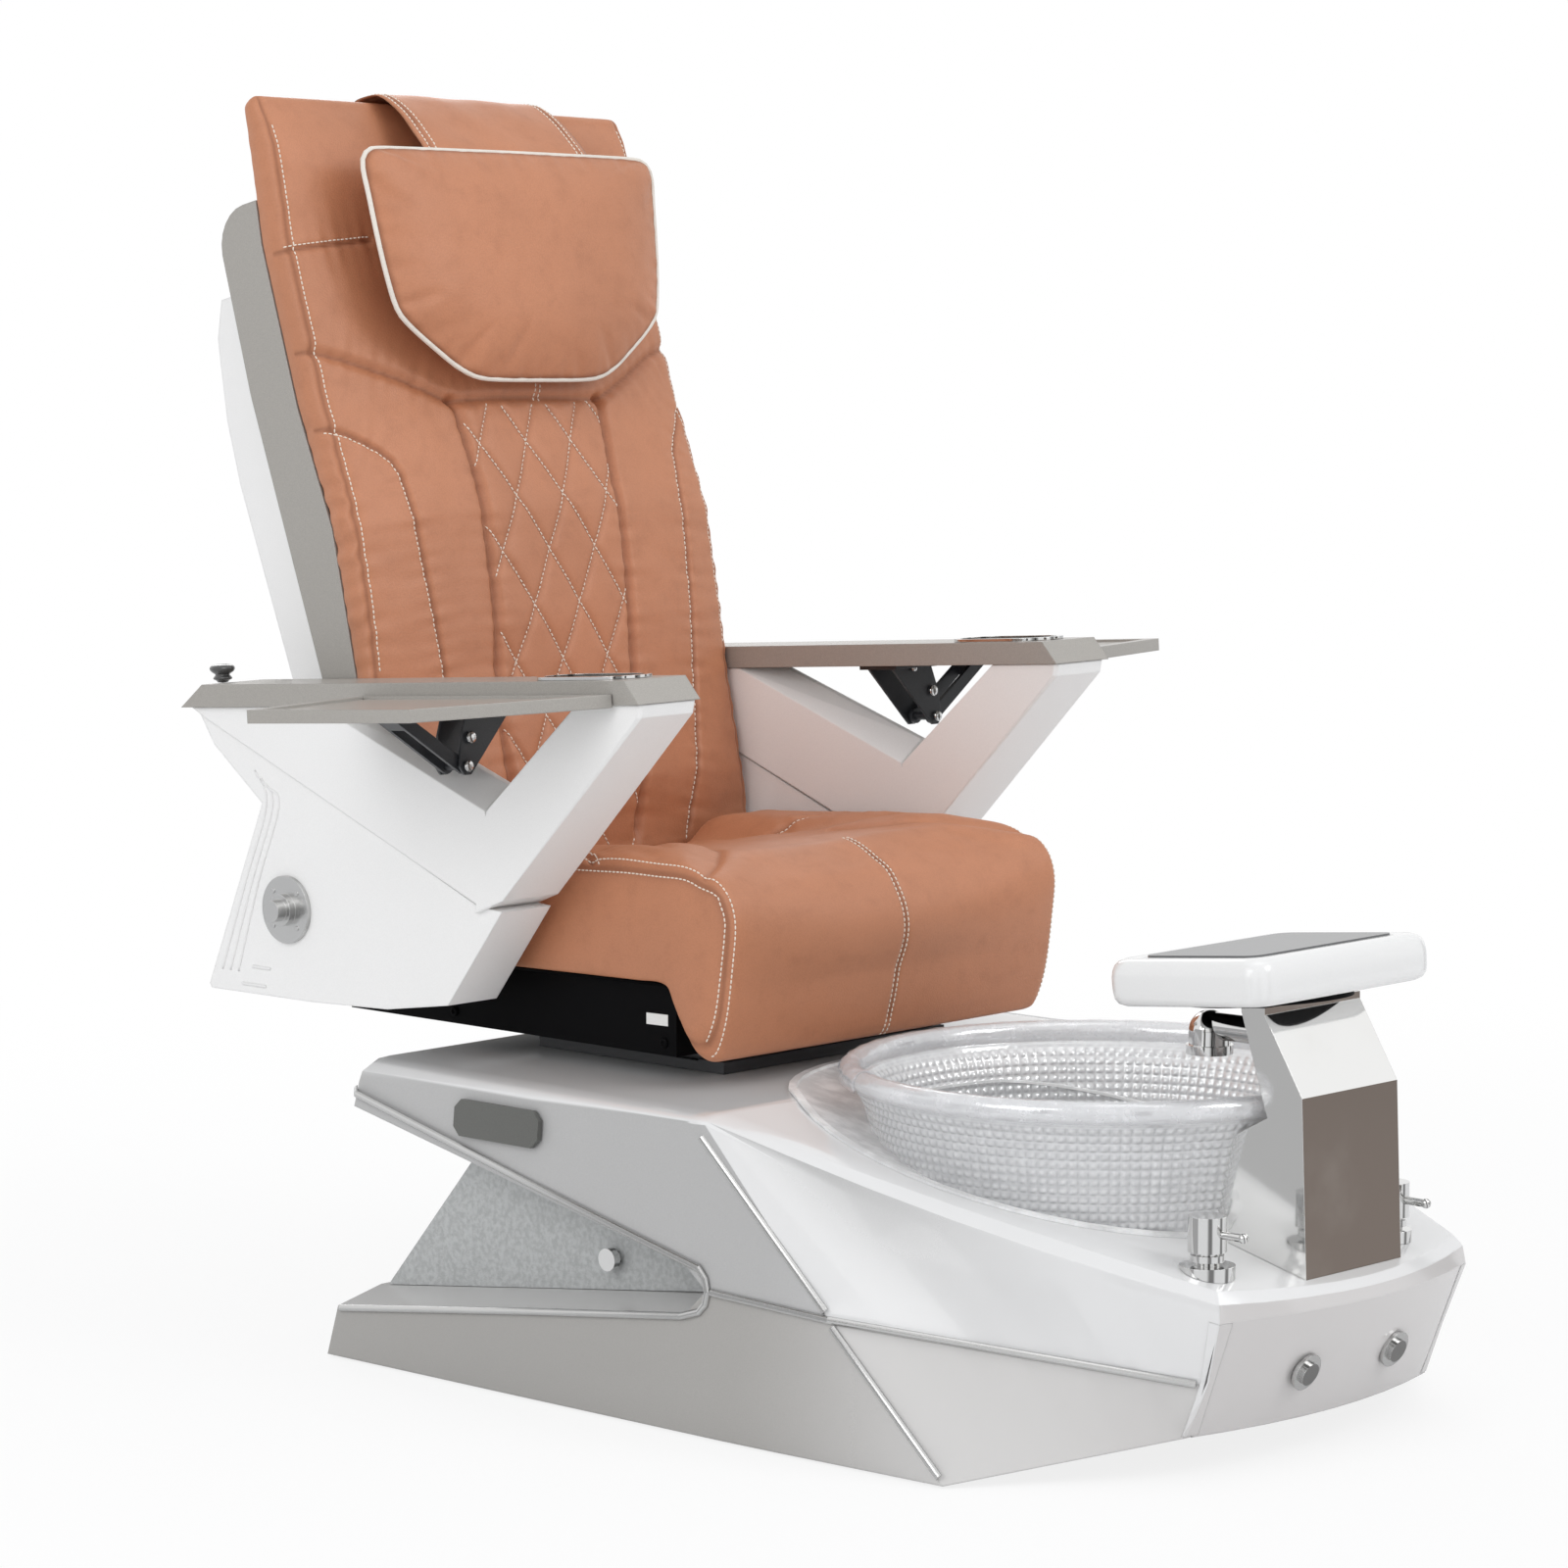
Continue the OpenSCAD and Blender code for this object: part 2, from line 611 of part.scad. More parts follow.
module power_box() {
  color("darkslategray") difference() {
    box([inlet_x - 60, 400, foot_h + tube + rest_gap], [inlet_x + 44, rear_line_y(stub_z + 26) - panel_t - 2, stub_z + 26]);
    box([inlet_x - 12, 460, stub_z - 9], [inlet_x + 12, 540, stub_z + 9]);
  }
}

// ---- Column, spout, valves -----------------------------------------------------------------------

pin_y = -480;
disc_t = 6;
disc_z = 482;
column_front = -front_reach - 12;
column_taper = 3.8;

// Places its children in the footrest's tilted frame, origin on the disc's top at the pin.
module footrest_frame() {
  translate([0, pin_y, disc_z + disc_t]) rotate([-footrest_tilt, 0, 0]) children();
}

module column_block(inset, low) {
  outline = [[column_front + inset, low], [column_front + 10 + inset, column_break_h - inset / 2],
    [column_front + 61 + inset, column_break_h + 84], [column_front + 61 + inset, column_break_h + 120],
    [column_front + 96 - inset, column_break_h + 120], [column_front + 92 - inset, column_break_h + 84],
    [column_front + 56 - inset, column_break_h - 26], [column_front + 119 - inset, column_break_h - 60],
    [column_front + 139 - inset, 232], [column_front + 143 - inset, low]];
  half = column_half - inset;
  difference() {
    across(outline, -half, half);
    for (s = [-1, 1]) translate([s * half, 0, deck_z(column_front)]) rotate([0, -s * column_taper, 0])
      translate([s * 100, 0, 100]) cube([200, 600, 1400], center = true);
  }
}

module column() {
  color("silver") difference() {
    column_block(0, 150);
    intersection() {
      column_block(3, 140);
      box([-200, -800, 0], [200, 0, column_break_h - 30]);
    }
    below_deck(-rest_gap);
    intersection() {
      below_deck(-rest_gap - collar_t - 1);
      rod([0, -well_y, 0], "z", well_r + collar_lip + 1, 400);
    }
    footrest_frame() translate([-200, -300, -disc_t - rest_gap]) cube([400, 600, 200]);
    translate([0, -bowl_y, 0]) rotate_extrude($fn = 96) polygon([[0, 100], [wall_r(232) + 10, 100], [wall_r(232) + 10, 244],
      [wall_r(bowl_top - 48) + 3, bowl_top - 48], [bowl_neck_r + 3, bowl_top - 2 * roll_r - 3], [bowl_r + 2, bowl_top - 2 * roll_r - 2],
      [bowl_r + 2, bowl_top + 2], [0, bowl_top + 2]]);
    rod([0, column_front + 62, spout_z], "y", spout_r + rest_gap, 100);
  }
}

spout_r = 15;
spout_z = 445;
spout_y = -401;
spout_head_r = 23;

module spout() {
  rim_z = 414;
  color("silver") difference() {
    union() {
      rod([0, column_front + 62, spout_z], "y", spout_r, -column_front - 62 + spout_y);
      translate([0, spout_y, spout_z - 6]) sphere(r = spout_head_r);
      rod([0, spout_y, rim_z], "z", spout_head_r, spout_z - 6 - rim_z);
      rod([0, spout_y, rim_z], "z", spout_head_r + 3, 10);
    }
    rod([0, spout_y, rim_z - 5], "z", spout_head_r - 4, 28);
  }
}

valve_neck_r = 14;
valve_rise = 22;

// Point on a valve's axis, z above the floor.
function valve_at(side, z) = side == RIGHT ? [-valve_x, -valve_y, z] : [near_valve_x, -near_valve_y, z];
function valve_top(side) = deck_z(valve_at(side, 0)[1]) + valve_rise;

module valve_body(side) {
  low = 160;
  top = valve_top(side);
  color("silver") difference() {
    union() {
      rod(valve_at(side, low), "z", side == RIGHT ? 30 : 24, top - 14 - low);
      rod(valve_at(side, low), "z", valve_neck_r, top - low);
      rod(valve_at(side, top - 10), "z", 18, 7);
    }
    difference() {
      below_deck(-rest_gap);
      rod(valve_at(side, 0), "z", valve_neck_r, 400);
    }
    rod(valve_at(side, top - 12), "z", 5 + run_gap, 20);
  }
}

module valve_handle(side) {
  top = valve_top(side);
  lever = valve_at(side, top + 20) - [0, handle_r + 27, 0];
  color("silver") {
    rod(valve_at(side, top + rest_gap), "z", handle_r, handle_h);
    rod(valve_at(side, top - 11), "z", 5, 12);
    rod(lever, "y", 4.5, 30);
    translate(lever) sphere(r = 5.5);
  }
}

module valve_body_right() { valve_body(RIGHT); }
module valve_body_left() { valve_body(LEFT); }
module valve_handle_right() { valve_handle(RIGHT); }
module valve_handle_left() { valve_handle(LEFT); }

// ---- Buttons ------------------------------------------------------------------------------------------

bezel_neck_r = button_r + 3;
face_lean = atan2(toe[1] + front_reach - front_bow + 30 + 10, front_h - toe_h);
button_z = 104;
button_f = button_x / front_half;
button_y = lerp(-front_reach + bow_y(1, front_bow, button_f), toe[1] + bow_y(1, front_bow - 10, button_x / toe[0]),
  (front_h - button_z) / (front_h - toe_h));

// Frame of a button: origin on the front face, +Z out of it.
module button_place(side) {
  translate([side * button_x, button_y, button_z]) rotate([90 + face_lean, 0, 0]) children();
}

module button_bezels() {
  color("silver") for (side = [RIGHT, LEFT]) button_place(side) difference() {
    union() {
      rod([0, 0, 2.2], "z", button_r + 8, 4);
      rod([0, 0, -22], "z", bezel_neck_r, 26);
    }
    rod([0, 0, -18], "z", button_r + run_gap, 60);
    rod([0, 0, -40], "z", 4 + run_gap, 60);
  }
}

module button(side) {
  color("silver") button_place(side) {
    rod([0, 0, -18 + button_travel + 1], "z", button_r, 20 + 4);
    rod([0, 0, -30], "z", 4, 24);
  }
}

module button_right() { button(RIGHT); }
module button_left() { button(LEFT); }

// ---- Footrest -----------------------------------------------------------------------------------------

module footrest_disc() {
  color("dimgray") footrest_frame() {
    rod([0, 0, -disc_t], "z", disc_r, disc_t);
    rod([0, 0, -1], "z", swivel_pin_r, 27);
  }
}

foot_front = -594 - pin_y;
foot_half = footrest_w / 2;
foot_rear = foot_front + footrest_l;
inset_depth = 5;
inset_edge = 30;

module rounded_slab(x, y0, y1, z0, z1, r) {
  box([-x + r, y0, z0], [x - r, y1, z1]);
  box([-x, y0 + r, z0], [x, y1 - r, z1]);
  for (sx = [-1, 1], y = [y0 + r, y1 - r]) rod([sx * (x - r), y, z0], "z", r, z1 - z0);
}

module footrest_shell() {
  color("white") footrest_frame() difference() {
    union() {
      rounded_slab(foot_half - 4, foot_front + 4, foot_rear - 4, rest_gap, footrest_t - 20, 18);
      rounded_slab(foot_half, foot_front, foot_rear, 6, footrest_t - 8, 20);
      rounded_slab(foot_half - 6, foot_front + 6, foot_rear - 6, 20, footrest_t, 20);
    }
    rod([0, 0, -5], "z", swivel_pin_r + run_gap, 32);
    rounded_slab(foot_half - inset_edge, foot_front + inset_edge, foot_rear - inset_edge, footrest_t - inset_depth, footrest_t + 10, 16);
  }
}

module footrest_inset() {
  gap = inset_edge + rest_gap;
  color("slategray") footrest_frame()
    rounded_slab(foot_half - gap, foot_front + gap, foot_rear - gap, footrest_t - inset_depth + rest_gap, footrest_t + 1.5, 15.7);
}

// ---- Deck rails and seat carriage --------------------------------------------------------------------------

rail_x = 162;
rail_w = 56;
// The seat, back and arms are drawn for this deck height, and ride up and down with the deck.
drawn_deck_h = 350;
carriage_lift = deck_h - drawn_deck_h;
rail_top = frame_z + carriage_lift - rest_gap;

module carried() {
  translate([0, 0, carriage_lift]) children();
}

rail_front = 150;
rail_rear = 450;

module deck_rails() {
  color("black") {
    for (s = [-1, 1]) {
      box([s * rail_x - rail_w / 2, rail_front, deck_h + rest_gap], [s * rail_x + rail_w / 2, rail_rear, deck_h + 12]);
      box([s * rail_x - 18, rail_front + 10, deck_h + 11], [s * rail_x + 18, rail_rear - 10, rail_top]);
    }
    box([-rail_x - rail_w / 2, rail_front, deck_h + rest_gap], [rail_x + rail_w / 2, rail_front + 40, deck_h + 14]);
  }
}

pivot_y = 668;
pivot_z = 512;

module seat_frame() {
  half = frame_w / 2;
  side_t = 12;
  side_plate = [[157, frame_z], [700, frame_z], [700, frame_z + 10], [575, frame_z + 70], [550, seat_under(550) - rest_gap],
    [157, seat_under(157) - rest_gap]];
  color("black") {
    difference() {
      for (s = [-1, 1]) {
        across(side_plate, s > 0 ? half - side_t : -half, s > 0 ? half : -half + side_t);
        across([[540, frame_z + 8], [590, frame_z + 8], [hinge_y + 20, hinge_z], [hinge_y, hinge_z + 20], [hinge_y - 20, hinge_z]],
          s > 0 ? half - side_t : -half, s > 0 ? half : -half + side_t);
        across([[hinge_y - 4, frame_z], [700, frame_z], [pivot_y + 20, pivot_z], [pivot_y, pivot_z + 22], [pivot_y - 20, pivot_z],
          [hinge_y + 14, hinge_z + 8]], s > 0 ? half - side_t : -half, s > 0 ? half : -half + side_t);
      }
      rod([-half - 10, hinge_y, hinge_z], "x", hinge_pin_r + run_gap, frame_w + 20);
      rod([-half - 10, pivot_y, pivot_z], "x", arm_pin_r + rest_gap, frame_w + 20);
    }
    box([-half + side_t - eps, 157, frame_z], [half - side_t + eps, 173, seat_under(173) - rest_gap]);
    box([-half + side_t - eps, 157, frame_z], [half - side_t + eps, 520, frame_z + 8]);
    box([-half + side_t - eps, 640, frame_z], [half - side_t + eps, 690, frame_z + 24]);
  }
}

module arm_pivots() {
  inner = frame_w / 2 - 24;
  color("gray") for (side = [RIGHT, LEFT]) on_side(side) {
    rod([inner, pivot_y, pivot_z], "x", arm_pin_r, arm_x + arm_t - 6 - inner);
    rod([inner, pivot_y, pivot_z], "x", arm_pin_r + 7, 11);
    rod([frame_w / 2 + rest_gap, pivot_y, pivot_z], "x", arm_pin_r + 7, arm_x - frame_w / 2 - 4);
  }
}

module recline_actuator() {
  color("dimgray") {
    rod([40, 200, frame_z + 36], "y", 26, 200);
    rod([40, 395, frame_z + 36], "y", 12, 90);
    box([16, 178, frame_z + 8 + rest_gap], [64, 236, frame_z + 60]);
  }
}

// Cushion: stations run across the seat; the upper path goes from the front lip over the top.
seat_half = seat_w / 2;
seat_rear_off = 509;
seat_stations = [-1, -0.99, -0.965, -0.93, -0.9, -0.74, -0.66, -0.6, -0.53, -0.3, 0,
  0.3, 0.53, 0.6, 0.66, 0.74, 0.9, 0.93, 0.965, 0.99, 1];

seat_crown = [[28, 2], [80, 12], [170, 4], [260, -8], [370, -20], [470, -30], [seat_rear_off, -40]];
bolster_rise = [[28, 0], [80, 4], [170, 12], [260, 20], [370, 28], [470, 30], [seat_rear_off, 26]];
bolster_x = 150;

function rise(u) = let (t = max(0, min(1, (abs(u) * seat_half - bolster_x) / 45))) t * t * (3 - 2 * t);
function edge_drop(u, depth) = let (s = max(0, abs(u) - 0.9) / 0.1) depth * (1 - sqrt(max(0, 1 - s * s)));
function seat_z(u, back) = seat_h + lookup(back, seat_crown) + lookup(back, bolster_rise) * rise(u) - edge_drop(u, 24);
function seat_upper(u) = let (f = seat_front + edge_drop(u, 12) + 3 * u * u, h = seat_h, d = edge_drop(u, 24), e = edge_drop(u, 26))
  concat([[f + 30, 384 + e], [f + 17, 436], [f + 6, 492], [f, h - 50], [f + 8, h - 18 - d / 2]],
    [for (p = seat_crown) [seat_front + p[0] - (p[0] > 500 ? edge_drop(u, 8) : 0), seat_z(u, p[0])]]);
// Height of the cushion's flat underside at y.
function seat_under(y) = 464 - (y - seat_front - 106) / 50;

function seat_lower(u) = let (f = seat_front, e = edge_drop(u, 26), lift = edge_drop(u, 10))
  concat([[f + 64, 384 + e], [f + 74, 410 + lift], [f + 88, 446]],
    [for (k = [106, 150, 200, 250, 300, 350, 400, 460, seat_rear_off]) [f + k, seat_under(f + k)]]);

module seat_cushion() {
  rings = [for (u = seat_stations) [for (p = concat(seat_upper(u), flip(seat_lower(u)))) [u * seat_half, p[0], p[1]]]];
  color("peru") ladder_loft(rings);
}

// ---- Backrest ---------------------------------------------------------------------------------------------------

// Places its children in the backrest's own frame: z runs up the back from the recline hinge.
module back_frame_of() {
  translate([0, hinge_y, hinge_z]) rotate([-back_lean, 0, 0]) children();
}

back_half = back_w / 2;
pad_low = 98;

// Depth of the pad's rear face, and the pad's thickness at its sides, at height z up the back.
function pad_rear(z) = lookup(z, [[98, -36], [128, -30], [300, -34], [520, -34], [670, -8], [870, 8], [1060, 0]]);
function pad_edge(z) = pad_rear(z) - lookup(z, [[98, 22], [150, 29], [300, 29], [384, 37], [639, 45], [1040, 45]]);
function groove(x, at, depth) = depth * exp(-pow((x - at) / 9, 2));
pad_x = [1, 0.97, 0.86, 0.69, 0.655, 0.5, 0.385, 0.355, 0.2, 0, -0.2, -0.355, -0.385, -0.5, -0.655, -0.69, -0.86, -0.97, -1];
pad_levels = [pad_low, 128, 165, 210, 300, 410, 520, 600, 670, 690, 770, 870, back_l - 90, back_l - 36, back_l - 14, back_l];
function pad_crown(u, f) = 26 * pow(1 - u * u, 0.6) * min(1, f * 12, (1.03 - f) * 9);
function pad_front(u, f) = let (z = lerp(pad_low, back_l, f), x = abs(u) * back_half, q = f > 0.6 ? 0 : 1)
  pad_edge(z) - pad_crown(u, f) + q * groove(x, 107, 6) + groove(x, 197, 4) + 14 * pow(max(0, f - 0.9) * 10, 3);

module back_pad() {
  rings = [for (z = pad_levels) let (f = (z - pad_low) / (back_l - pad_low), narrow = f > 0.97 ? 8 : 0)
    concat([for (u = pad_x) [u * (back_half - narrow), pad_front(u, f), z]],
      flip([for (u = pad_x) [u * (back_half - narrow), pad_rear(z) - rest_gap, z]]))];
  color("peru") back_frame_of() ladder_loft(rings);
}

mech_half = 170;
rail_r = 10;
rail_gap = 112;
roller_y = -4;
roller_z = 335;

beam_x = frame_w / 2 - 45;
beam_w = 28;
beam_t = 30;
beam_front = 14;
shell_opening = beam_x + beam_w / 2 + 4;

module back_frame() {
  half = frame_w / 2;
  front = beam_front;
  beam = beam_t;
  color("black") back_frame_of() {
    for (s = [-1, 1]) {
      box([s * beam_x - beam_w / 2, front, 14], [s * beam_x + beam_w / 2, front + beam, 840]);
      box([s * beam_x - beam_w / 2, -front, -front], [s * beam_x + beam_w / 2, front + beam, 30]);
      rod([s * rail_gap, front + beam / 2, 150], "z", rail_r, 670);
    }
    for (z = [125, 810]) box([-beam_x, front, z], [beam_x, front + beam, z + 30]);
    rod([-half + 1, 0, 0], "x", hinge_pin_r, frame_w - 2);
  }
}

side_shell_top = 925;

module back_side_shell() {
  lining = 4;
  outer = concat([for (z = [175, 300, 520, 670, 870, side_shell_top]) [pad_rear(z) + rest_gap, z]],
    [for (a = [90:-15:0]) [30 + 50 * cos(a), side_shell_top - 50 + 50 * sin(a)]],
    [[70, 700], [24, 340], [10, 200], [6, 175]]);
  inner = concat([[-60, 185], [-60, side_shell_top - 6]],
    [for (a = [90:-15:0]) [30 + 46 * cos(a), side_shell_top - 52 + 46 * sin(a)]],
    [[66, 700], [20, 344], [6, 204], [2, 185]]);
  color("darkgray") back_frame_of() difference() {
    across(outer, -back_half + 4, back_half - 4);
    across(inner, -back_half + 4 + lining, back_half - 4 - lining);
    box([-shell_opening, -80, 160], [shell_opening, 200, 800]);
  }
}

module back_rear_shell() {
  half = 250;
  outer = [[18, 182], [110, 160], [133, 368], [170, 610], [175, 690], [168, 790], [150, 835], [86, 835], [73, 700], [27, 340], [13, 200]];
  inner = [[12, 192], [106, 166], [129, 368], [166, 610], [171, 690], [164, 788], [146, 830], [60, 830], [60, 700], [22, 344], [8, 204]];
  color("white") back_frame_of() difference() {
    across(outer, -half, half);
    across(inner, -half + 4, half - 4);
    box([-shell_opening, 0, 150], [shell_opening, beam_front + beam_t + 2, 200]);
  }
}

// The pillow swings on the rolled end of the leather flap, which runs over the top of the back.
roll_y = -106;
roll_z = 961;
roll_end_r = 4;

module headrest_flap() {
  half = 136;
  lay = 4;
  over = back_l + 3;
  rear = pad_rear(back_l) + 3;
  path = [[roll_y + 1, roll_z], [roll_y + 34, roll_z + 48], [-52, back_l - 14], [-34, over], [rear - 5, over], [rear, over - 6],
    [rear + 1, back_l - 70]];
  outside = [[roll_y - 4, roll_z + 1], [roll_y + 30, roll_z + 51], [-56, back_l - 12], [-36, over + lay], [rear - 3, over + lay],
    [rear + lay, over - 4], [rear + 1 + lay, back_l - 70]];
  color("peru") back_frame_of() {
    across(concat(path, flip(outside)), strap_shift - half, strap_shift + half);
    rod([strap_shift - half, roll_y, roll_z], "x", roll_end_r, 2 * half);
  }
}

pillow_low = 676;
pillow_high = roll_z - roll_end_r - 0.5;
pillow_z = [0, 0.015, 0.06, 0.15, 0.27, 0.42, 0.6, 0.8, 0.94, 0.985, 1];
pillow_u = [-1, -0.985, -0.93, -0.8, -0.5, 0, 0.5, 0.8, 0.93, 0.985, 1];

function pillow_half(f) = lookup(f, [[0, 112], [0.06, 150], [0.275, 212], [0.96, 241], [1, 236]]);
function pillow_puff(f, u) = pow(max(0, (1 - pow(abs(2 * f - 1), 6)) * (1 - pow(abs(u), 8))), 0.5);

module pillow() {
  mid = -110;
  rings = [for (f = pillow_z) let (z = lerp(pillow_low, pillow_high, f), w = pillow_half(f))
    concat([for (u = pillow_u) [u * w, mid - 4 - 24 * pillow_puff(f, u), z]],
      flip([for (u = pillow_u) [u * w, mid + 4 + 20 * pillow_puff(f, u), z]]))];
  color("peru") back_frame_of() ladder_loft([for (r = rings) flip(r)]);
}

module massage_carriage() {
  rails_y = beam_front + beam_t / 2;
  color("dimgray") back_frame_of() difference() {
    union() {
      box([-mech_half + 30, 16, 300], [mech_half - 30, 50, 400]);
      for (s = [-1, 1]) box([s * 60 - 8, roller_y - 10, roller_z - 15], [s * 60 + 8, 20, roller_z + 15]);
      box([-60, 49, 320], [60, 92, 380]);
    }
    for (s = [-1, 1]) rod([s * rail_gap, rails_y, 290], "z", rail_r + run_gap, 120);
    rod([-100, roller_y, roller_z], "x", 5 + run_gap, 200);
  }
}

module massage_rollers() {
  color("dimgray") back_frame_of() {
    rod([-95, roller_y, roller_z], "x", 5, 190);
    for (s = [-1, 1]) rod([s * 83 - 12, roller_y, roller_z], "x", 16, 24);
  }
}

// ---- Armrests -------------------------------------------------------------------------------------------------------

arm_front = 75;
arm_mid = arm_x + arm_t / 2;
bar_in = arm_x - 3;
bar_out = arm_x + arm_t + 6;
leg_in = arm_x + 3;
leg_out = arm_x + arm_t - 8;
sleeve_r = arm_pin_r + 7;

// Height of the top bar's underside at y.
function bar_z(y) = arm_h - (y - arm_front) * tan(arm_tilt);

module arm_shell() {
  x1 = arm_x + arm_t;
  top = -rest_gap;
  front = [[77, bar_z(77) + top], [80, arm_h - 15], [300, 556], [345, 538], [325, 656], [174, bar_z(174) + top]];
  band = [[826, bar_z(826) + top], [826, arm_h - 52], [805, arm_h - 62], [330, 545], [300, 556], [325, 656], [600, bar_z(600) + top]];
  ridge = [[826, bar_z(826) + top], [826, arm_h - 56], [805, arm_h - 66], [340, 552], [310, 580], [327, 682], [560, bar_z(560) + top]];
  leg = [[825, arm_h - 54], [797, arm_h - 94], [712, 634], [810, 410], [806, 405], [628, 406], [498, 411], [396, 426], [306, 542], [345, 545]];
  color("white") difference() {
    union() {
      hull() {
        across(front, arm_x + 4, x1 - 4);
        across([for (p = front) [p[0] + (p[0] < 200 ? 4 : -3), p[1]]], arm_x, x1);
      }
      hull() {
        across(band, arm_x, x1);
        across(ridge, arm_mid - 4, arm_mid + 4);
      }
      across(leg, leg_in, leg_out);
    }
    rod([arm_x - 20, pivot_y, pivot_z], "x", sleeve_r + rest_gap, arm_t + 40);
    across([[0, bar_z(0) + top], [900, bar_z(900) + top], [900, 900], [0, 900]], arm_x - 10, x1 + 10);
  }
}

ring_y = 190;
ring_long = 75;
ring_wide = 38;
recess = 20;
knob_y = 818;
knob_stem_r = 6;
knob_depth = 22;

module oval(a, b, h) {
  for (s = [-1, 1]) translate([0, s * (a - b), 0]) cylinder(r = b, h = h);
  translate([-b, -(a - b), 0]) cube([2 * b, 2 * (a - b), h]);
}

// Frame on the top bar's upper face at y.
module bar_top_frame(y) {
  translate([(bar_in + bar_out) / 2, y, bar_z(y)]) rotate([-arm_tilt, 0, 0]) translate([0, 0, bar_t]) children();
}

module arm_top() {
  back = arm_front + bar_l;
  outline = [[arm_front, bar_z(arm_front)], [arm_front + 23, bar_z(arm_front + 23) + bar_t],
    [back - 38, bar_z(back - 38) + bar_t], [back, bar_z(back)]];
  color("darkgray") difference() {
    across(outline, bar_in, bar_out);
    bar_top_frame(ring_y) translate([0, 0, -recess]) oval(ring_long - 6, ring_wide - 6, 40);
    bar_top_frame(knob_y) translate([0, 0, -knob_depth - 1]) cylinder(r = knob_stem_r + run_gap, h = 60);
  }
}

module arm_ring() {
  color("silver") bar_top_frame(ring_y) translate([0, 0, rest_gap]) difference() {
    oval(ring_long, ring_wide, 3.5);
    translate([0, 0, -5]) oval(ring_long - 8, ring_wide - 8, 12);
  }
}

module arm_knob() {
  color("dimgray") bar_top_frame(knob_y) {
    translate([0, 0, -knob_depth]) cylinder(r = knob_stem_r, h = knob_depth + 6);
    translate([0, 0, 4]) oval(19, 12, 18);
  }
}

module pivot_cap() {
  disc_at = [leg_out + rest_gap, pivot_y, pivot_z];
  mark = [5, 0, pivot_disc_r - 11];
  color("silver") difference() {
    union() {
      rod([arm_x - 2, pivot_y, pivot_z], "x", sleeve_r, arm_t - 2);
      rod(disc_at, "x", pivot_disc_r, 5);
      rod(disc_at + [4, 0, 0], "x", 19, 10);
      rod(disc_at + [13, 0, 0], "x", 13, 14);
      for (a = [45:90:315]) translate(disc_at) rotate([a, 0, 0]) rod(mark - [1, 0, 0], "x", 3, 2);
    }
    rod([arm_x - 10, pivot_y, pivot_z], "x", arm_pin_r + run_gap, arm_t + 6);
  }
}

// Tray hinge: an axis along the bar, below its outer edge.
brace_drop = 88;
brace_y = 370;
brace_x = 400;
brace_z = arm_h - brace_drop;
tray_gap = 1.5;
tray_top = 80;
hinge_bolt_r = 5;
lug_gap = 17.5;
lug_t = 3.5;
under_bar = (bar_z(brace_y) - brace_z) * cos(arm_tilt) - rest_gap;

module tray_frame() {
  translate([brace_x, brace_y, brace_z]) rotate([-arm_tilt, 0, 0]) children();
}

module tray() {
  x = bar_out + tray_gap - brace_x;
  front = -261;
  edge = [[x, front], [x + tray_w, front + 73], [x + tray_w, front + 337], [x, front + 406]];
  dish = [[x + 16, front + 22], [x + tray_w - 14, front + 86], [x + tray_w - 14, front + 326], [x + 16, front + 386]];
  color("darkgray") tray_frame() difference() {
    translate([0, 0, tray_top - tray_t]) linear_extrude(tray_t) polygon(edge);
    translate([0, 0, tray_top - 3]) linear_extrude(8) polygon(dish);
  }
}

module tray_brace() {
  under = tray_top - tray_t - rest_gap;
  half = lug_gap - 1.5;
  color("black") tray_frame() difference() {
    union() {
      rod([0, -half, 0], "y", 9, 2 * half);
      hull() {
        rod([2, -half, 0], "y", 8, 2 * half, $fn = 24);
        translate([86, -half, under - 8]) cube([14, 2 * half, 8]);
      }
      box([54, -34, under - 5], [112, 34, under]);
    }
    rod([0, -40, 0], "y", hinge_bolt_r + run_gap, 80);
    box([-20, -half + 5, -20], [84, half - 5, under - 8]);
  }
}

module tray_bracket() {
  lug = [[-80, under_bar], [-6, under_bar], [6, 34], [11, 0], [4, -10], [-6, -10], [-14, -2]];
  color("black") tray_frame() {
    for (y = [-lug_gap - lug_t, lug_gap]) translate([0, y + lug_t, 0]) rotate([90, 0, 0]) linear_extrude(lug_t) polygon(lug);
    rod([0, -lug_gap - lug_t - 4, 0], "y", hinge_bolt_r, 2 * (lug_gap + lug_t + 4));
    rod([-6, -lug_gap - lug_t - 4, 32], "y", 6, 5);
    box([-80, -30, under_bar - 5], [-4, 30, under_bar]);
  }
}

module arm_shell_right() { on_side(RIGHT) arm_shell(); }
module arm_shell_left() { on_side(LEFT) arm_shell(); }
module arm_top_right() { on_side(RIGHT) arm_top(); }
module arm_top_left() { on_side(LEFT) arm_top(); }
module arm_ring_right() { on_side(RIGHT) arm_ring(); }
module arm_ring_left() { on_side(LEFT) arm_ring(); }
module arm_knob_right() { on_side(RIGHT) arm_knob(); }
module arm_knob_left() { on_side(LEFT) arm_knob(); }
module pivot_cap_right() { on_side(RIGHT) pivot_cap(); }
module pivot_cap_left() { on_side(LEFT) pivot_cap(); }
module tray_bracket_right() { on_side(RIGHT) tray_bracket(); }
module tray_bracket_left() { on_side(LEFT) tray_bracket(); }
module tray_right() { on_side(RIGHT) tray(); }
module tray_left() { on_side(LEFT) tray(); }
module tray_brace_right() { on_side(RIGHT) tray_brace(); }
module tray_brace_left() { on_side(LEFT) tray_brace(); }

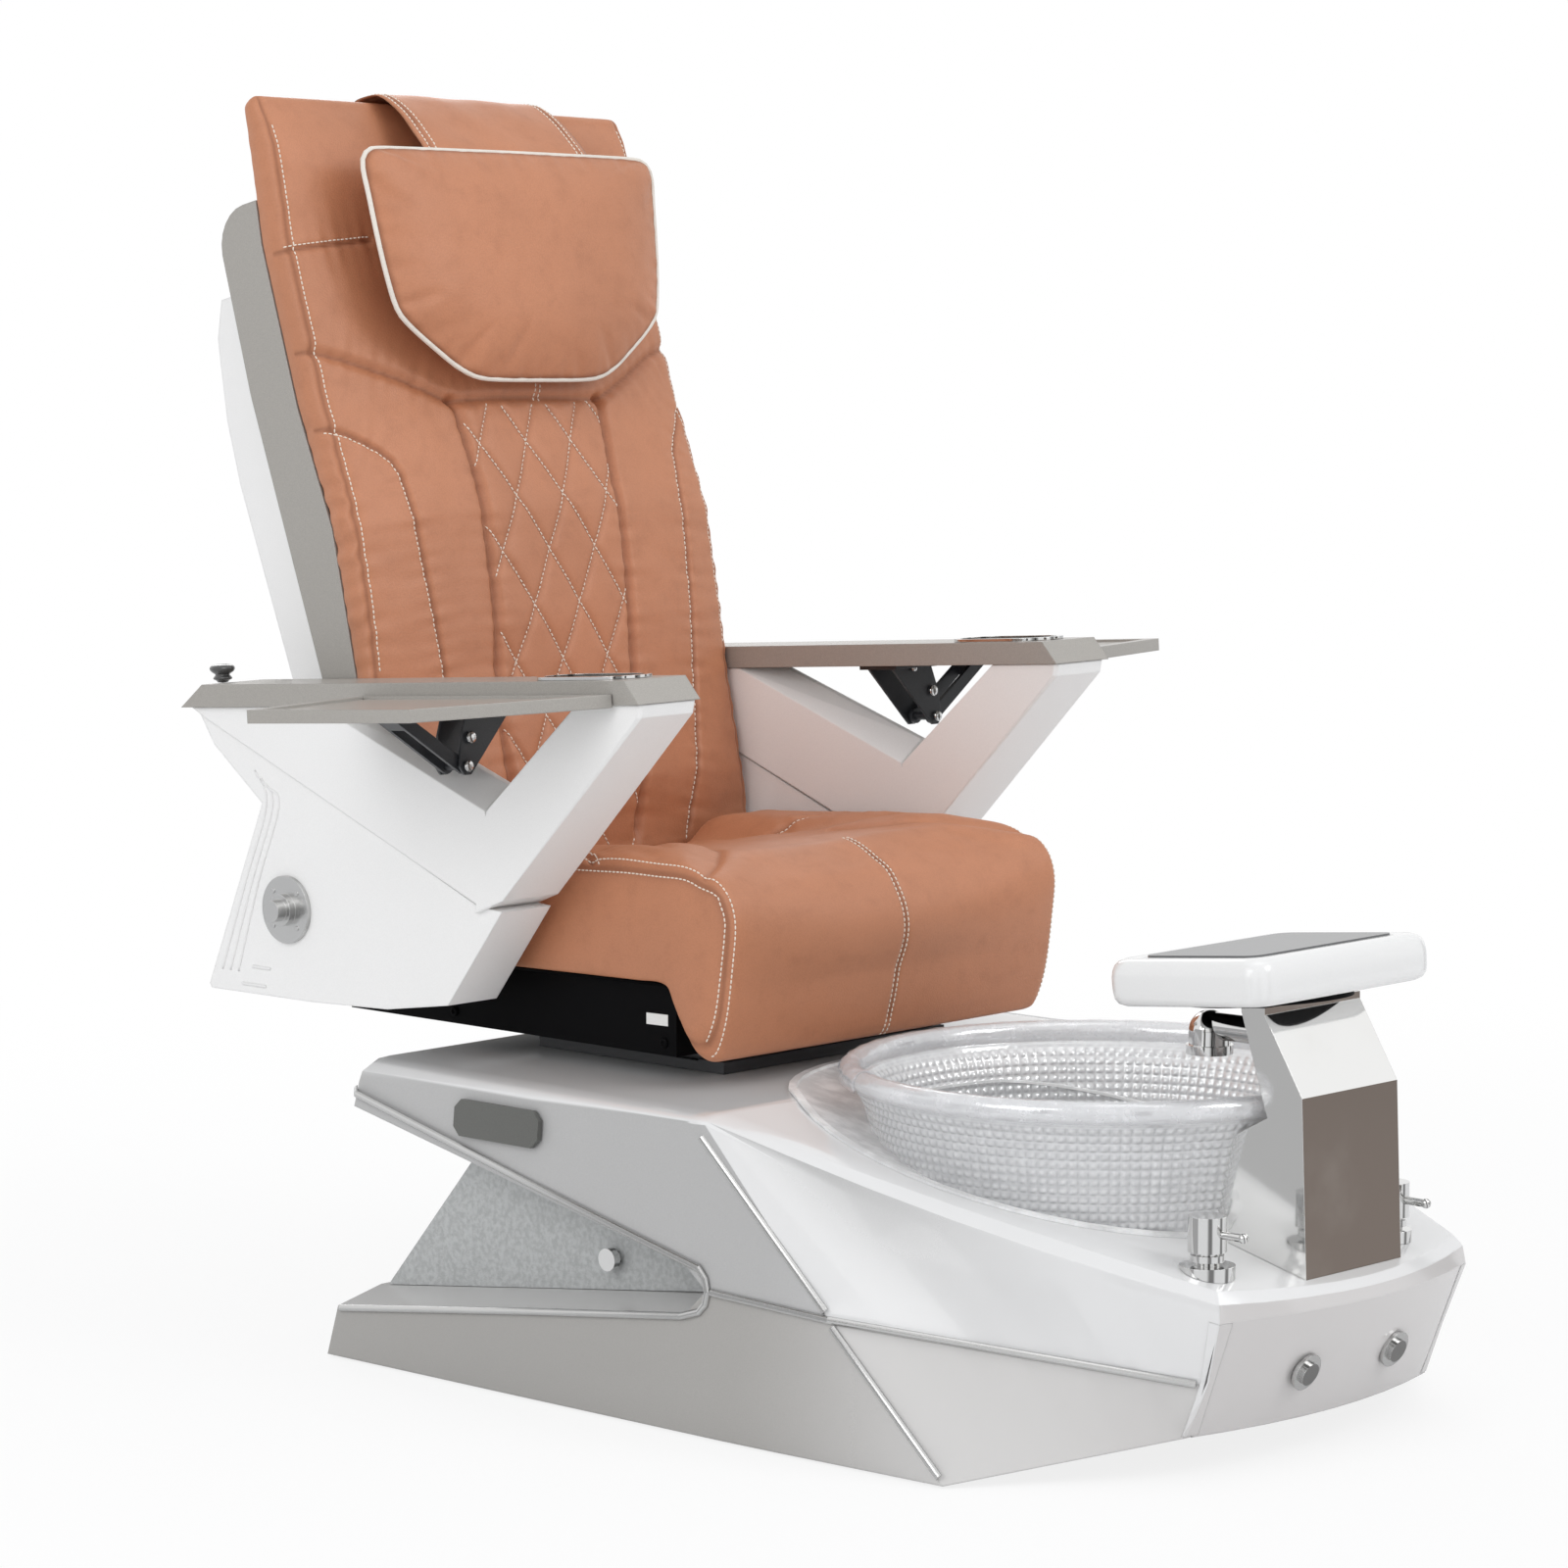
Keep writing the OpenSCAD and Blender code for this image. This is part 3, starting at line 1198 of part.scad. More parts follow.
chassis_frame();
levelling_feet();
upper_shell();
lower_shell();
trim_beads();
notch_panels();
notch_knob_right();
notch_knob_left();
rear_panel();
blank_plates();
bowl();
bowl_collar();
drain_fitting();
drain_stopper();
jet_housing();
jet_impeller();
water_manifold();
power_box();
column();
footrest_disc();
footrest_shell();
footrest_inset();
spout();
valve_body_right();
valve_body_left();
valve_handle_right();
valve_handle_left();
button_bezels();
button_right();
button_left();
deck_rails();
carried() seat_frame();
carried() seat_cushion();
carried() recline_actuator();
carried() arm_pivots();
carried() back_frame();
carried() back_side_shell();
carried() back_rear_shell();
carried() back_pad();
carried() headrest_flap();
carried() pillow();
carried() massage_carriage();
carried() massage_rollers();
carried() arm_shell_right();
carried() arm_top_right();
carried() arm_ring_right();
carried() arm_knob_right();
carried() pivot_cap_right();
carried() tray_bracket_right();
carried() tray_right();
carried() tray_brace_right();
carried() arm_shell_left();
carried() arm_top_left();
carried() arm_ring_left();
carried() arm_knob_left();
carried() pivot_cap_left();
carried() tray_bracket_left();
carried() tray_left();
carried() tray_brace_left();
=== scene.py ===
"""Looks of a pedicure spa chair: leather cushions with their seams and stitching, pressed-glass
bowl, gelcoat shells and bright metal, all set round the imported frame. Metres; work sizes in mm."""

import math

import bmesh
import bpy
import numpy as np
from mathutils import Euler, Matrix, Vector, noise
from mathutils.bvhtree import BVHTree
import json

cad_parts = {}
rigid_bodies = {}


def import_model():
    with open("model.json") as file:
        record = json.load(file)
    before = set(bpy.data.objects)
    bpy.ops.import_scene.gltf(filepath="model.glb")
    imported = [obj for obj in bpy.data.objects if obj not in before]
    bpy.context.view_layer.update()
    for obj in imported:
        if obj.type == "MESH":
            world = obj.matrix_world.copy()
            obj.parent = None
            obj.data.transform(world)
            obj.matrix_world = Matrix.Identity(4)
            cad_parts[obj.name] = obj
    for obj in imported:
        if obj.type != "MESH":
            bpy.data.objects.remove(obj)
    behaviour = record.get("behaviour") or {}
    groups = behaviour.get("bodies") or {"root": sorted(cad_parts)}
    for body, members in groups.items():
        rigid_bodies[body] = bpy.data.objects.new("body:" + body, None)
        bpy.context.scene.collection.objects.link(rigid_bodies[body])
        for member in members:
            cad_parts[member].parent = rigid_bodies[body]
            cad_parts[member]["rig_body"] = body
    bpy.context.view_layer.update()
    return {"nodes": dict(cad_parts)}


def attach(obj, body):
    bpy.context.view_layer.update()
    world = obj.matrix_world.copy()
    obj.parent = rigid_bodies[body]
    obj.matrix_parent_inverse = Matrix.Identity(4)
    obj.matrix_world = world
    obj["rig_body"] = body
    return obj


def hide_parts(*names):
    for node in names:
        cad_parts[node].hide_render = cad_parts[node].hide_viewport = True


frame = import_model()
scene = bpy.context.scene
MM = 0.001


# ---- Camera -----------------------------------------------------------------------------------

camera = bpy.data.objects.new("camera", bpy.data.cameras.new("camera"))
scene.collection.objects.link(camera)
scene.camera = camera
camera.location = (-4.3895, -3.8597, 1.3237)
camera.rotation_euler = Euler((math.radians(83.703), 0, math.radians(-47)))
camera.data.lens = 118.59
camera.data.sensor_width = 36
camera.data.clip_end = 60


# ---- Finishes ---------------------------------------------------------------------------------


class Value:
    """A shader socket that takes part in Python arithmetic."""

    def __init__(self, finish, socket):
        self.finish, self.socket = finish, socket

    def _math(self, operation, a, b):
        return self.finish.node("ShaderNodeMath", {"operation": operation}, {0: a, 1: b})

    def __add__(self, other):
        return self._math("ADD", self, other)

    def __sub__(self, other):
        return self._math("SUBTRACT", self, other)

    def __rsub__(self, other):
        return self._math("SUBTRACT", other, self)

    def __mul__(self, other):
        return self._math("MULTIPLY", self, other)

    __radd__ = __add__
    __rmul__ = __mul__

    def step(self, low, high):
        """0 below low, 1 above high, smooth between."""
        return self.finish.node("ShaderNodeMapRange", {"interpolation_type": "SMOOTHSTEP"},
                                {0: self, 1: low, 2: high, 3: 0.0, 4: 1.0})


class Finish:
    """A Principled material whose colour, roughness and relief are worked out from sockets."""

    def __init__(self, name, **sockets):
        self.material = bpy.data.materials.new(name)
        self.material.use_nodes = True
        self.tree = self.material.node_tree
        self.surface = self.tree.nodes["Principled BSDF"]
        self.place = self.node("ShaderNodeTexCoord", out="Object")
        for key, value in sockets.items():
            self.set(key.replace("_", " "), value)

    def feed(self, socket, value):
        """A link from another socket, or a plain number or colour."""
        if isinstance(value, Value):
            self.tree.links.new(value.socket, socket)
        else:
            socket.default_value = (*value, 1) if isinstance(value, tuple) and len(value) == 3 else value

    def node(self, kind, settings=None, inputs=None, out=0):
        made = self.tree.nodes.new(kind)
        for key, value in (settings or {}).items():
            setattr(made, key, value)
        for key, value in (inputs or {}).items():
            self.feed(made.inputs[key], value)
        return Value(self, made.outputs[out])

    def set(self, key, value):
        self.feed(self.surface.inputs[key], value)

    def noise(self, scale, detail, rough):
        return self.node("ShaderNodeTexNoise", {},
                         {"Vector": self.place, "Scale": scale, "Detail": detail, "Roughness": rough})

    def cells(self, scale):
        return self.node("ShaderNodeTexVoronoi", {}, {"Vector": self.place, "Scale": scale}, out="Distance")

    def axis(self, index, vector=None):
        return self.node("ShaderNodeSeparateXYZ", {}, {0: vector or self.place}, out=index)

    def facing(self, index):
        return self.axis(index, self.node("ShaderNodeTexCoord", out="Normal"))

    def mix(self, share, a, b):
        return self.node("ShaderNodeMix", {"data_type": "RGBA"}, {0: share, 6: a, 7: b}, out=2)

    def mark(self, name):
        """A value from 0 to 1 painted on the mesh's points."""
        return self.node("ShaderNodeAttribute", {"attribute_name": name}, out="Fac")

    def soft_normal(self, radius):
        return self.node("ShaderNodeBevel", {"samples": 4}, {"Radius": radius})

    def edges(self, radius):
        """1 along sharp edges, 0 on flat faces."""
        flat = self.node("ShaderNodeNewGeometry", out="Normal")
        cosine = self.node("ShaderNodeVectorMath", {"operation": "DOT_PRODUCT"},
                           {0: self.soft_normal(radius), 1: flat}, out="Value")
        return (1 - cosine).step(0.0, 0.12)

    def done(self, colour, rough, height, depth, strength, edge=0.0):
        """The finished material, with bump of that depth in metres on edges rounded by edge metres."""
        self.set("Base Color", colour)
        self.set("Roughness", rough)
        bump = {"Strength": strength, "Distance": depth, "Height": height}
        if edge:
            bump["Normal"] = self.soft_normal(edge)
        self.set("Normal", self.node("ShaderNodeBump", {}, bump))
        return self.material


def tint(colour, scale, add=0.0):
    return tuple(min(1, c * scale + add) for c in colour)


def leather(name, colour, deep):
    """Full-grain upholstery leather: pebbled grain, cloudy dye, and painted shade down in the seams and creases."""
    f = Finish(name, Coat_Weight=0.06, Coat_Roughness=0.35)
    cloud, pull, pores = f.noise(5.0, 4, 0.6), f.noise(38.0, 5, 0.62), f.noise(1500.0, 2, 0.6)
    grain, seam = f.cells(520.0), f.mark("seam")
    tone = f.mix(cloud.step(0.3, 0.75), tint(colour, 0.93), tint(colour, 1.05))
    tone = f.mix(pull.step(0.45, 0.8) * 0.16, tone, deep)
    tone = f.mix(grain.step(0.0, 0.9) * 0.12, tone, deep)
    # painted shade: points marked along seams, creases and edges are mixed towards the deep tone
    return f.done(f.mix(seam * 0.72, tone, deep), 0.43 + pull * 0.14 + seam * 0.2,
                  grain * 0.55 + pores * 0.25 + pull * 1.1, 0.0006, 0.55)


def thread(name, colour):
    f = Finish(name, Sheen_Weight=0.2)
    twist = f.noise(2400.0, 2, 0.5)
    return f.done(f.mix(twist, tint(colour, 0.88), colour), 0.7 + twist * 0.15, twist, 0.0002, 0.6)


def moulded(name, colour, rough, speck, size, depth, coat=0.0, metal=0.0, edge=0.0015, gloss=0.5):
    """Moulded or sprayed finish: fine speckle, slow clouding, and a painted highlight that makes the edges a little
    paler.
    """
    f = Finish(name, Coat_Weight=coat, Coat_Roughness=0.04, Metallic=metal, Specular_IOR_Level=gloss)
    fine, slow = f.noise(size, 2, 0.6), f.noise(3.2, 3, 0.5)
    tone = f.mix(fine.step(0.3, 0.7), tint(colour, 1 - speck), tint(colour, 1 + speck))
    tone = f.mix(slow.step(0.35, 0.75) * 0.12, tone, tint(colour, 0.9))
    # painted highlight along sharp edges
    if edge:
        tone = f.mix(f.edges(edge * 0.8) * 0.25, tone, tint(colour, 1.25, 0.02))
    return f.done(tone, rough + fine * 0.06 + slow * 0.05, fine, depth, 0.5, edge)


def bright(name, colour, rough, edge=0.001, grain=0.0, reflection_bands=0.0):
    """Plated or brushed metal with faint wiping marks. The last argument sets how strongly darker stripes are painted
    on some facings, a painted reflection of a dim room.
    """
    f = Finish(name, Metallic=1.0)
    wipe, fine = f.noise(9.0, 4, 0.65), f.noise(700.0, 2, 0.5)
    tone = f.mix(wipe.step(0.4, 0.8) * 0.3, colour, tint(colour, 0.86))
    # painted reflection: darker stripes on the facings that would mirror a dim room
    if reflection_bands:
        turn = f.facing(0) * 2.2 - f.facing(1) * 1.4 + f.facing(2) * 0.6
        painted_darkening = (turn.step(-0.95, -0.6) * (1 - turn.step(-0.35, -0.1))
                + turn.step(0.75, 1.0) * (1 - turn.step(1.15, 1.35)))
        tone = f.mix(painted_darkening * reflection_bands, tone, (0.10, 0.098, 0.095))
    return f.done(tone, rough + wipe * rough * 0.5 + fine * grain, wipe + fine * 0.3, 0.0001, 0.12, edge)


def shell_paint(name, side, deck, front_y):
    """Gelcoat: pale and glossy where it faces up, which is painted top light, and where it lies toward the front;
    satin pearl on the sides. Front-facing faces and the low rear get painted shade, and sharp edges a painted
    highlight.
    """
    f = Finish(name, Coat_Weight=0.25, Coat_Roughness=0.05)
    up = f.facing(2).step(0.25, 0.6)
    ahead = (f.axis(1) * -1.0).step(-front_y - 0.24, -front_y + 0.14)
    # pale towards the front as paint; pale where facing up as painted top light
    pale_front_and_top_light = 1 - (1 - up) * (1 - ahead)
    fine, slow = f.noise(820.0, 2, 0.6), f.noise(2.4, 3, 0.5)
    satin = f.mix(fine.step(0.3, 0.7), tint(side, 0.955), tint(side, 1.035))
    # painted shade: faces that look forward are darkened towards a grey
    front = (f.facing(1) * -1.0).step(0.5, 0.9) * (1 - up) * 0.75
    tone = f.mix(front, f.mix(pale_front_and_top_light, satin, deck), (0.60, 0.575, 0.565))
    tone = f.mix(slow.step(0.4, 0.8) * 0.10, tone, tint(side, 0.93))
    shade = f.axis(1).step(-0.05, 0.35) * (1 - f.axis(2).step(0.10, 0.24)) * (1 - up) * 0.12
    tone = f.mix(shade, tone, tint(side, 0.55))
    # painted highlight: sharp edges are mixed towards a pale grey
    return f.done(f.mix(f.edges(0.0016) * 0.3, tone, (0.93, 0.93, 0.93)), 0.42 - pale_front_and_top_light * 0.33 + fine * 0.05,
                  fine * (1 - pale_front_and_top_light * 0.9), 0.00006, 0.5, 0.003)


def panel_texture(name, colour):
    """Coarse stippled panel."""
    f = Finish(name)
    lumps, fine = f.noise(150.0, 4, 0.65), f.noise(520.0, 2, 0.6)
    tone = f.mix(lumps.step(0.35, 0.65), tint(colour, 0.86), tint(colour, 1.08))
    return f.done(tone, 0.5 + fine * 0.12, lumps + fine * 0.3, 0.0016, 0.85)


def column_plate(name):
    """Polished plate: the facet that leans down and forward is painted a darker brownish tone, a painted reflection of
    the floor and room in front.
    """
    f = Finish(name, Metallic=1.0)
    wipe = f.noise(7.0, 4, 0.6)
    # painted reflection of the floor and room on the facet facing down and forward
    down = (f.facing(2) * -1.0 - f.facing(1) * 0.5).step(0.15, 0.35)
    tone = f.mix(down, (0.86, 0.86, 0.85), (0.20, 0.165, 0.142))
    return f.done(f.mix(wipe.step(0.45, 0.8) * 0.12, tone, (0.60, 0.57, 0.53)), 0.05 + wipe * 0.05,
                  wipe, 0.0002, 0.1, 0.0012)


def pressed_glass(name, colour, rough, body, silver, relief=0.0004, scale=60.0, cloud=0.05):
    """Clear pressed glass or acrylic. body is how much of the view behind it the thickness hides."""
    f = Finish(name, IOR=1.45, Metallic=silver)
    # the mark on the mesh is painted shade round the hobnails: darker and less clear there
    swirl, dot = f.noise(scale, 4, 0.6), f.mark("seam")
    tone = f.mix(swirl.step(0.35, 0.7), tint(colour, 1 - cloud), colour)
    f.set("Alpha", body + swirl.step(0.4, 0.7) * cloud + dot * 0.25)
    return f.done(f.mix(dot, tone, tint(colour, 0.36)), rough + swirl * 0.06, swirl, relief, 0.5)


# the second colour is the deep tone of the grain and of the painted shade in seams and creases
TAN = leather("leather_tan", (0.535, 0.220, 0.111), (0.20, 0.068, 0.030))
THREAD = thread("thread_cream", (0.90, 0.80, 0.69))
PIPING = leather("piping_ivory", (0.82, 0.77, 0.70), (0.45, 0.38, 0.30))
# each shell: side colour, then the colour of the front and of up-facing faces, where its lightness is painted top
# light, then where the front begins
UPPER = shell_paint("gelcoat_upper", (0.47, 0.468, 0.465), (0.78, 0.78, 0.78), -0.34)
LOWER = shell_paint("gelcoat_lower", (0.40, 0.388, 0.37), (0.62, 0.61, 0.60), -0.30)
PANEL = panel_texture("panel_stipple", (0.475, 0.487, 0.485))
# SILVER and CHROME: the last argument is the strength of their painted reflection stripes
SILVER = bright("trim_silver", (0.60, 0.60, 0.595), 0.18, reflection_bands=0.25)
CHROME = bright("chrome", (0.70, 0.70, 0.695), 0.04, 0.0007, reflection_bands=0.85)
# PLATE paints a reflection of the floor and room on the column's lower front facet
PLATE = column_plate("column_plate")
WHITE = moulded("arm_white", (0.87, 0.866, 0.858), 0.34, 0.02, 700.0, 0.00004, 0.1, edge=0.003)
SHINY = moulded("footrest_white", (0.82, 0.82, 0.815), 0.12, 0.01, 500.0, 0.00002, 0.5, edge=0.004)
TAUPE = moulded("paint_taupe", (0.385, 0.366, 0.338), 0.36, 0.12, 1300.0, 0.00005, 0.2, 0.25, 0.0022)
SLATE = moulded("paint_slate", (0.125, 0.128, 0.132), 0.3, 0.12, 1300.0, 0.00005, 0.3, 0.15, 0.0012)
BLACK = moulded("enamel_black", (0.003, 0.003, 0.0035), 0.55, 0.2, 600.0, 0.00004, edge=0.0, gloss=0.06)
RAIL = moulded("enamel_graphite", (0.028, 0.030, 0.034), 0.35, 0.2, 900.0, 0.00006, 0.1, edge=0.0015)
RUBBER = moulded("rubber", (0.02, 0.02, 0.02), 0.75, 0.2, 500.0, 0.0001, edge=0.001)
KNOB = moulded("knob_grey", (0.055, 0.055, 0.055), 0.18, 0.1, 500.0, 0.00003, 0.5, edge=0.001)
BADGE = moulded("plate_grey", (0.135, 0.137, 0.128), 0.4, 0.08, 900.0, 0.00005, 0.1, 0.3, 0.0006)
STEEL = bright("steel_grey", (0.42, 0.42, 0.42), 0.3, 0.001, 0.08)
BRASS = bright("brass", (0.72, 0.52, 0.24), 0.25)
PLASTIC = moulded("plastic_white", (0.75, 0.75, 0.74), 0.4, 0.03, 500.0, 0.00005, edge=0.001)
LABEL = moulded("label_blank", (0.82, 0.82, 0.80), 0.5, 0.02, 700.0, 0.00002, edge=0.0)
# GLASS shows the painted hobnail shade marked on the bowl
GLASS = pressed_glass("glass_pressed", (0.97, 0.98, 0.99), 0.05, 0.56, 0.3)
ACRYLIC = pressed_glass("acrylic_frosted", (1.0, 1.0, 1.0), 0.35, 0.8, 0.0, 0.0016, 22.0, 0.15)
FILM = pressed_glass("film_clear", (0.95, 0.95, 0.97), 0.08, 0.3, 0.25, 0.0012, 70.0, 0.12)

SIDES = ("right", "left")
NODE_FINISH = {
    UPPER: ["upper_shell"], LOWER: ["lower_shell"], SILVER: ["trim_beads", "button_bezels", "pivot_cap_*"],
    PANEL: ["notch_panels"], BADGE: ["blank_plates"], PLATE: ["column"], ACRYLIC: ["bowl_collar"],
    CHROME: ["spout", "valve_body_*", "valve_handle_*", "button_*", "arm_ring_*", "notch_knob_*", "drain_stopper"],
    WHITE: ["arm_shell_*", "back_rear_shell", "rear_panel"], SHINY: ["footrest_shell"], SLATE: ["footrest_inset"],
    TAUPE: ["back_side_shell", "arm_top_*", "tray_*"], KNOB: ["arm_knob_*"], STEEL: ["arm_pivots"],
    BLACK: ["seat_frame", "back_frame", "footrest_disc", "chassis_frame"],
    RAIL: ["tray_bracket_*", "tray_brace_*", "deck_rails", "recline_actuator", "massage_carriage", "power_box"],
    PLASTIC: ["drain_fitting", "jet_housing", "jet_impeller", "massage_rollers"],
    RUBBER: ["levelling_feet"], BRASS: ["water_manifold"],
}
for finish, patterns in NODE_FINISH.items():
    for pattern in patterns:
        for side in SIDES if pattern.endswith("*") else ("",):
            for slot in frame["nodes"][pattern.replace("*", side)].material_slots:
                slot.material = finish


# ---- Mesh helpers -----------------------------------------------------------------------------


def piece(name, points, faces, material, body, smooth=True, marks=None):
    """A mesh in metres that rides on a body."""
    mesh = bpy.data.meshes.new(name)
    mesh.from_pydata([tuple(p) for p in points], [], faces)
    mesh.validate()
    obj = bpy.data.objects.new(name, mesh)
    scene.collection.objects.link(obj)
    mesh.materials.append(material)
    mesh.polygons.foreach_set("use_smooth", [smooth] * len(mesh.polygons))
    if marks is not None:
        paint_points(obj, marks)
    if body:
        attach(obj, body)
    return obj


def paint_points(obj, marks):
    layer = obj.data.attributes.get("seam") or obj.data.attributes.new("seam", "FLOAT", "POINT")
    layer.data.foreach_set("value", np.clip(marks, 0, 1).astype(np.float32))


def co(obj):
    out = np.zeros(len(obj.data.vertices) * 3)
    obj.data.vertices.foreach_get("co", out)
    return out.reshape(-1, 3)


def put(obj, points):
    obj.data.vertices.foreach_set("co", points.astype(np.float32).ravel())
    obj.data.update()


def grid(rows, cols, wrap_cols=False, wrap_rows=False):
    """Quads over rows x cols points."""
    faces = []
    for i in range(rows if wrap_rows else rows - 1):
        for j in range(cols if wrap_cols else cols - 1):
            near, far, beside = i * cols, (i + 1) % rows * cols, (j + 1) % cols
            faces.append((near + j, near + beside, far + beside, far + j))
    return faces


def capped(rows, cols):
    """Quads round a bar of closed rings, with a face over each end."""
    last = (rows - 1) * cols
    return grid(rows, cols, wrap_cols=True) + [tuple(range(cols))[::-1], tuple(range(last, last + cols))]


def weld(obj, distance=0.00005):
    """Joins the points that meet and turns every face outward."""
    bm = bmesh.new()
    bm.from_mesh(obj.data)
    bmesh.ops.remove_doubles(bm, verts=bm.verts, dist=distance)
    bmesh.ops.recalc_face_normals(bm, faces=bm.faces)
    bm.to_mesh(obj.data)
    bm.free()


def bake_modifiers(obj):
    graph = bpy.context.evaluated_depsgraph_get()
    mesh = bpy.data.meshes.new_from_object(obj.evaluated_get(graph))
    obj.modifiers.clear()
    obj.data = mesh


def subdivide(obj, levels):
    mod = obj.modifiers.new("fine", "SUBSURF")
    mod.levels = mod.render_levels = levels
    bake_modifiers(obj)


def lookup(value, table):
    table = np.array(table, float)
    return np.interp(value, table[:, 0], table[:, 1])


def smooth(value, low, high):
    t = np.clip((value - low) / (high - low), 0, 1)
    return t * t * (3 - 2 * t)


def runs(p):
    """How far along the line each of its points lies."""
    return np.concatenate([[0], np.cumsum(np.linalg.norm(np.diff(p, axis=0), axis=1))])


def sample(at, reach, p):
    return np.stack([np.interp(at, reach, p[:, k]) for k in range(p.shape[1])], axis=1)


def along(points, pitch=None, count=None):
    """The polyline sampled at even steps."""
    p = np.array(points, float)
    reach = runs(p)
    return sample(np.linspace(0, reach[-1], count or max(2, int(reach[-1] / pitch) + 1)), reach, p)


def rounded(points, count):
    """Catmull-Rom curve through the points, sampled evenly along its length."""
    p = np.array(points, float)
    p = np.vstack([2 * p[0] - p[1], p, 2 * p[-1] - p[-2]])
    out = []
    for i in range(1, len(p) - 2):
        t = np.linspace(0, 1, 12, endpoint=False)[:, None]
        a, b, c, d = p[i - 1:i + 3]
        out.append(0.5 * (2 * b + (c - a) * t + (2 * a - 5 * b + 4 * c - d) * t**2 + (3 * b - a - 3 * c + d) * t**3))
    return along(np.vstack([*out, p[-2:-1]]), count=count)


def across(line):
    """Unit vectors square to a flat line at its points."""
    t = np.gradient(line, axis=0)
    return np.stack([-t[:, 1], t[:, 0]], axis=1) / np.linalg.norm(t, axis=1)[:, None]


def away(points, line):
    """Distance of each 2-D point to a polyline, and how far along it the nearest place lies."""
    line = np.array(line, float)
    best, where, run = np.full(len(points), 1e9), np.zeros(len(points)), 0.0
    for a, b in zip(line[:-1], line[1:]):
        d = b - a
        size = float(np.hypot(*d))
        t = np.clip(((points - a) @ d) / size**2, 0, 1)
        gap = np.linalg.norm(points - a - t[:, None] * d, axis=1)
        near = gap < best
        best = np.where(near, gap, best)
        where = np.where(near, run + t * size, where)
        run += size
    return best, where


def ripple(s, seed=0.0):
    """Uneven gathers along a seamline, between -1 and 1; s in mm."""
    return (np.sin(s / 3.1 + seed) * 0.45 + np.sin(s / 4.7 + 2.1 * seed + 1.3) * 0.35
            + np.sin(s / 8.3 + 0.7 * seed + np.sin(s / 31.0) * 1.7) * 0.35)


def clouds(points, size, seed=0.0):
    """Smooth noise at points in mm, about -1 to 1."""
    return np.array([noise.noise(Vector((p[0] / size + seed, p[1] / size, p[2] / size))) for p in points])


def swell(obj, held, pressure, cap):
    """Inflates the closed mesh as cloth, with the held points sewn down, and caps how far a point moves."""
    rest = co(obj)
    group = obj.vertex_groups.new(name="held")
    group.add([int(i) for i in np.nonzero(held)[0]], 1.0, "REPLACE")
    mod = obj.modifiers.new("swell", "CLOTH")
    s = mod.settings
    s.quality, s.mass, s.air_damping = 5, 0.3, 1.5
    s.tension_stiffness = s.compression_stiffness = 12
    s.shear_stiffness, s.bending_stiffness = 6, 1.5
    s.use_pressure, s.uniform_pressure_force = True, pressure
    s.vertex_group_mass = "held"
    s.effector_weights.gravity = 0
    mod.collision_settings.use_collision = False
    frames = 18
    mod.point_cache.frame_start, mod.point_cache.frame_end = 1, frames
    for number in range(1, frames + 1):
        scene.frame_set(number)
    move = co(obj.evaluated_get(bpy.context.evaluated_depsgraph_get())) - rest
    size = np.linalg.norm(move, axis=1, keepdims=True)
    obj.modifiers.remove(mod)
    obj.vertex_groups.clear()
    scene.frame_set(1)
    put(obj, rest + move * np.minimum(1, cap / np.maximum(size, 1e-9)))


def surface(obj):
    mesh = obj.data
    return BVHTree.FromPolygons([v.co for v in mesh.vertices], [p.vertices for p in mesh.polygons])


def drop(tree, points, ways, reach=0.25):
    """Points carried onto the surface with the normals there, all along one tuple or each along its own
    direction in a list. Misses are left out."""
    found, normals = [], []
    for p, way in zip(points, [ways] * len(points) if isinstance(ways, tuple) else ways):
        way = Vector(way).normalized()
        hit, normal, _, _ = tree.ray_cast(Vector(p) - way * reach, way, 2 * reach)
        if hit is not None:
            found.append(hit)
            normals.append(normal if normal.dot(way) < 0 else -normal)
    return found, normals


def tube(points, radius, sides=10, ends=True):
    """Points and faces of a round bar along the points, in the points' own unit."""
    p = np.array(points, float)
    ring, side = [], None
    for i in range(len(p)):
        t = p[min(i + 1, len(p) - 1)] - p[max(i - 1, 0)]
        t /= max(np.linalg.norm(t), 1e-12)
        if side is None:
            side = np.cross(t, (0, 0, 1) if abs(t[2]) < 0.9 else (1, 0, 0))
        side = side - t * (side @ t)
        side /= np.linalg.norm(side)
        up = np.cross(t, side)
        r = radius[i] if hasattr(radius, "__len__") else radius
        for k in range(sides):
            a = 2 * math.pi * k / sides
            ring.append(p[i] + r * (math.cos(a) * side + math.sin(a) * up))
    return ring, capped(len(p), sides) if ends else grid(len(p), sides, wrap_cols=True)


def gather(parts):
    """Several (points, faces) as one."""
    points, faces = [], []
    for part_points, part_faces in parts:
        faces += [tuple(i + len(points) for i in f) for f in part_faces]
        points += list(part_points)
    return np.array(points, float), faces


def stitch(rows, length=4.4, pitch=6.2, radius=0.85):
    """Thread stitches along rows of (points, normals) in metres."""
    parts = []
    for row in rows:
        if len(row[0]) < 3:
            continue
        p, n = (np.array([tuple(v) for v in vectors]) for vectors in row)
        reach = runs(p)
        for start in np.arange(0.5 * pitch * MM, reach[-1] - length * MM, pitch * MM):
            at = start + np.array([0, 0.18, 0.5, 0.82, 1]) * length * MM
            lift = np.array([-0.5, 0.25, 0.5, 0.25, -0.5])[:, None] * radius * MM
            thick = np.array([0.6, 1, 1.1, 1, 0.6]) * radius * MM
            parts.append(tube(sample(at, reach, p) + sample(at, reach, n) * lift, thick, 6))
    return gather(parts)


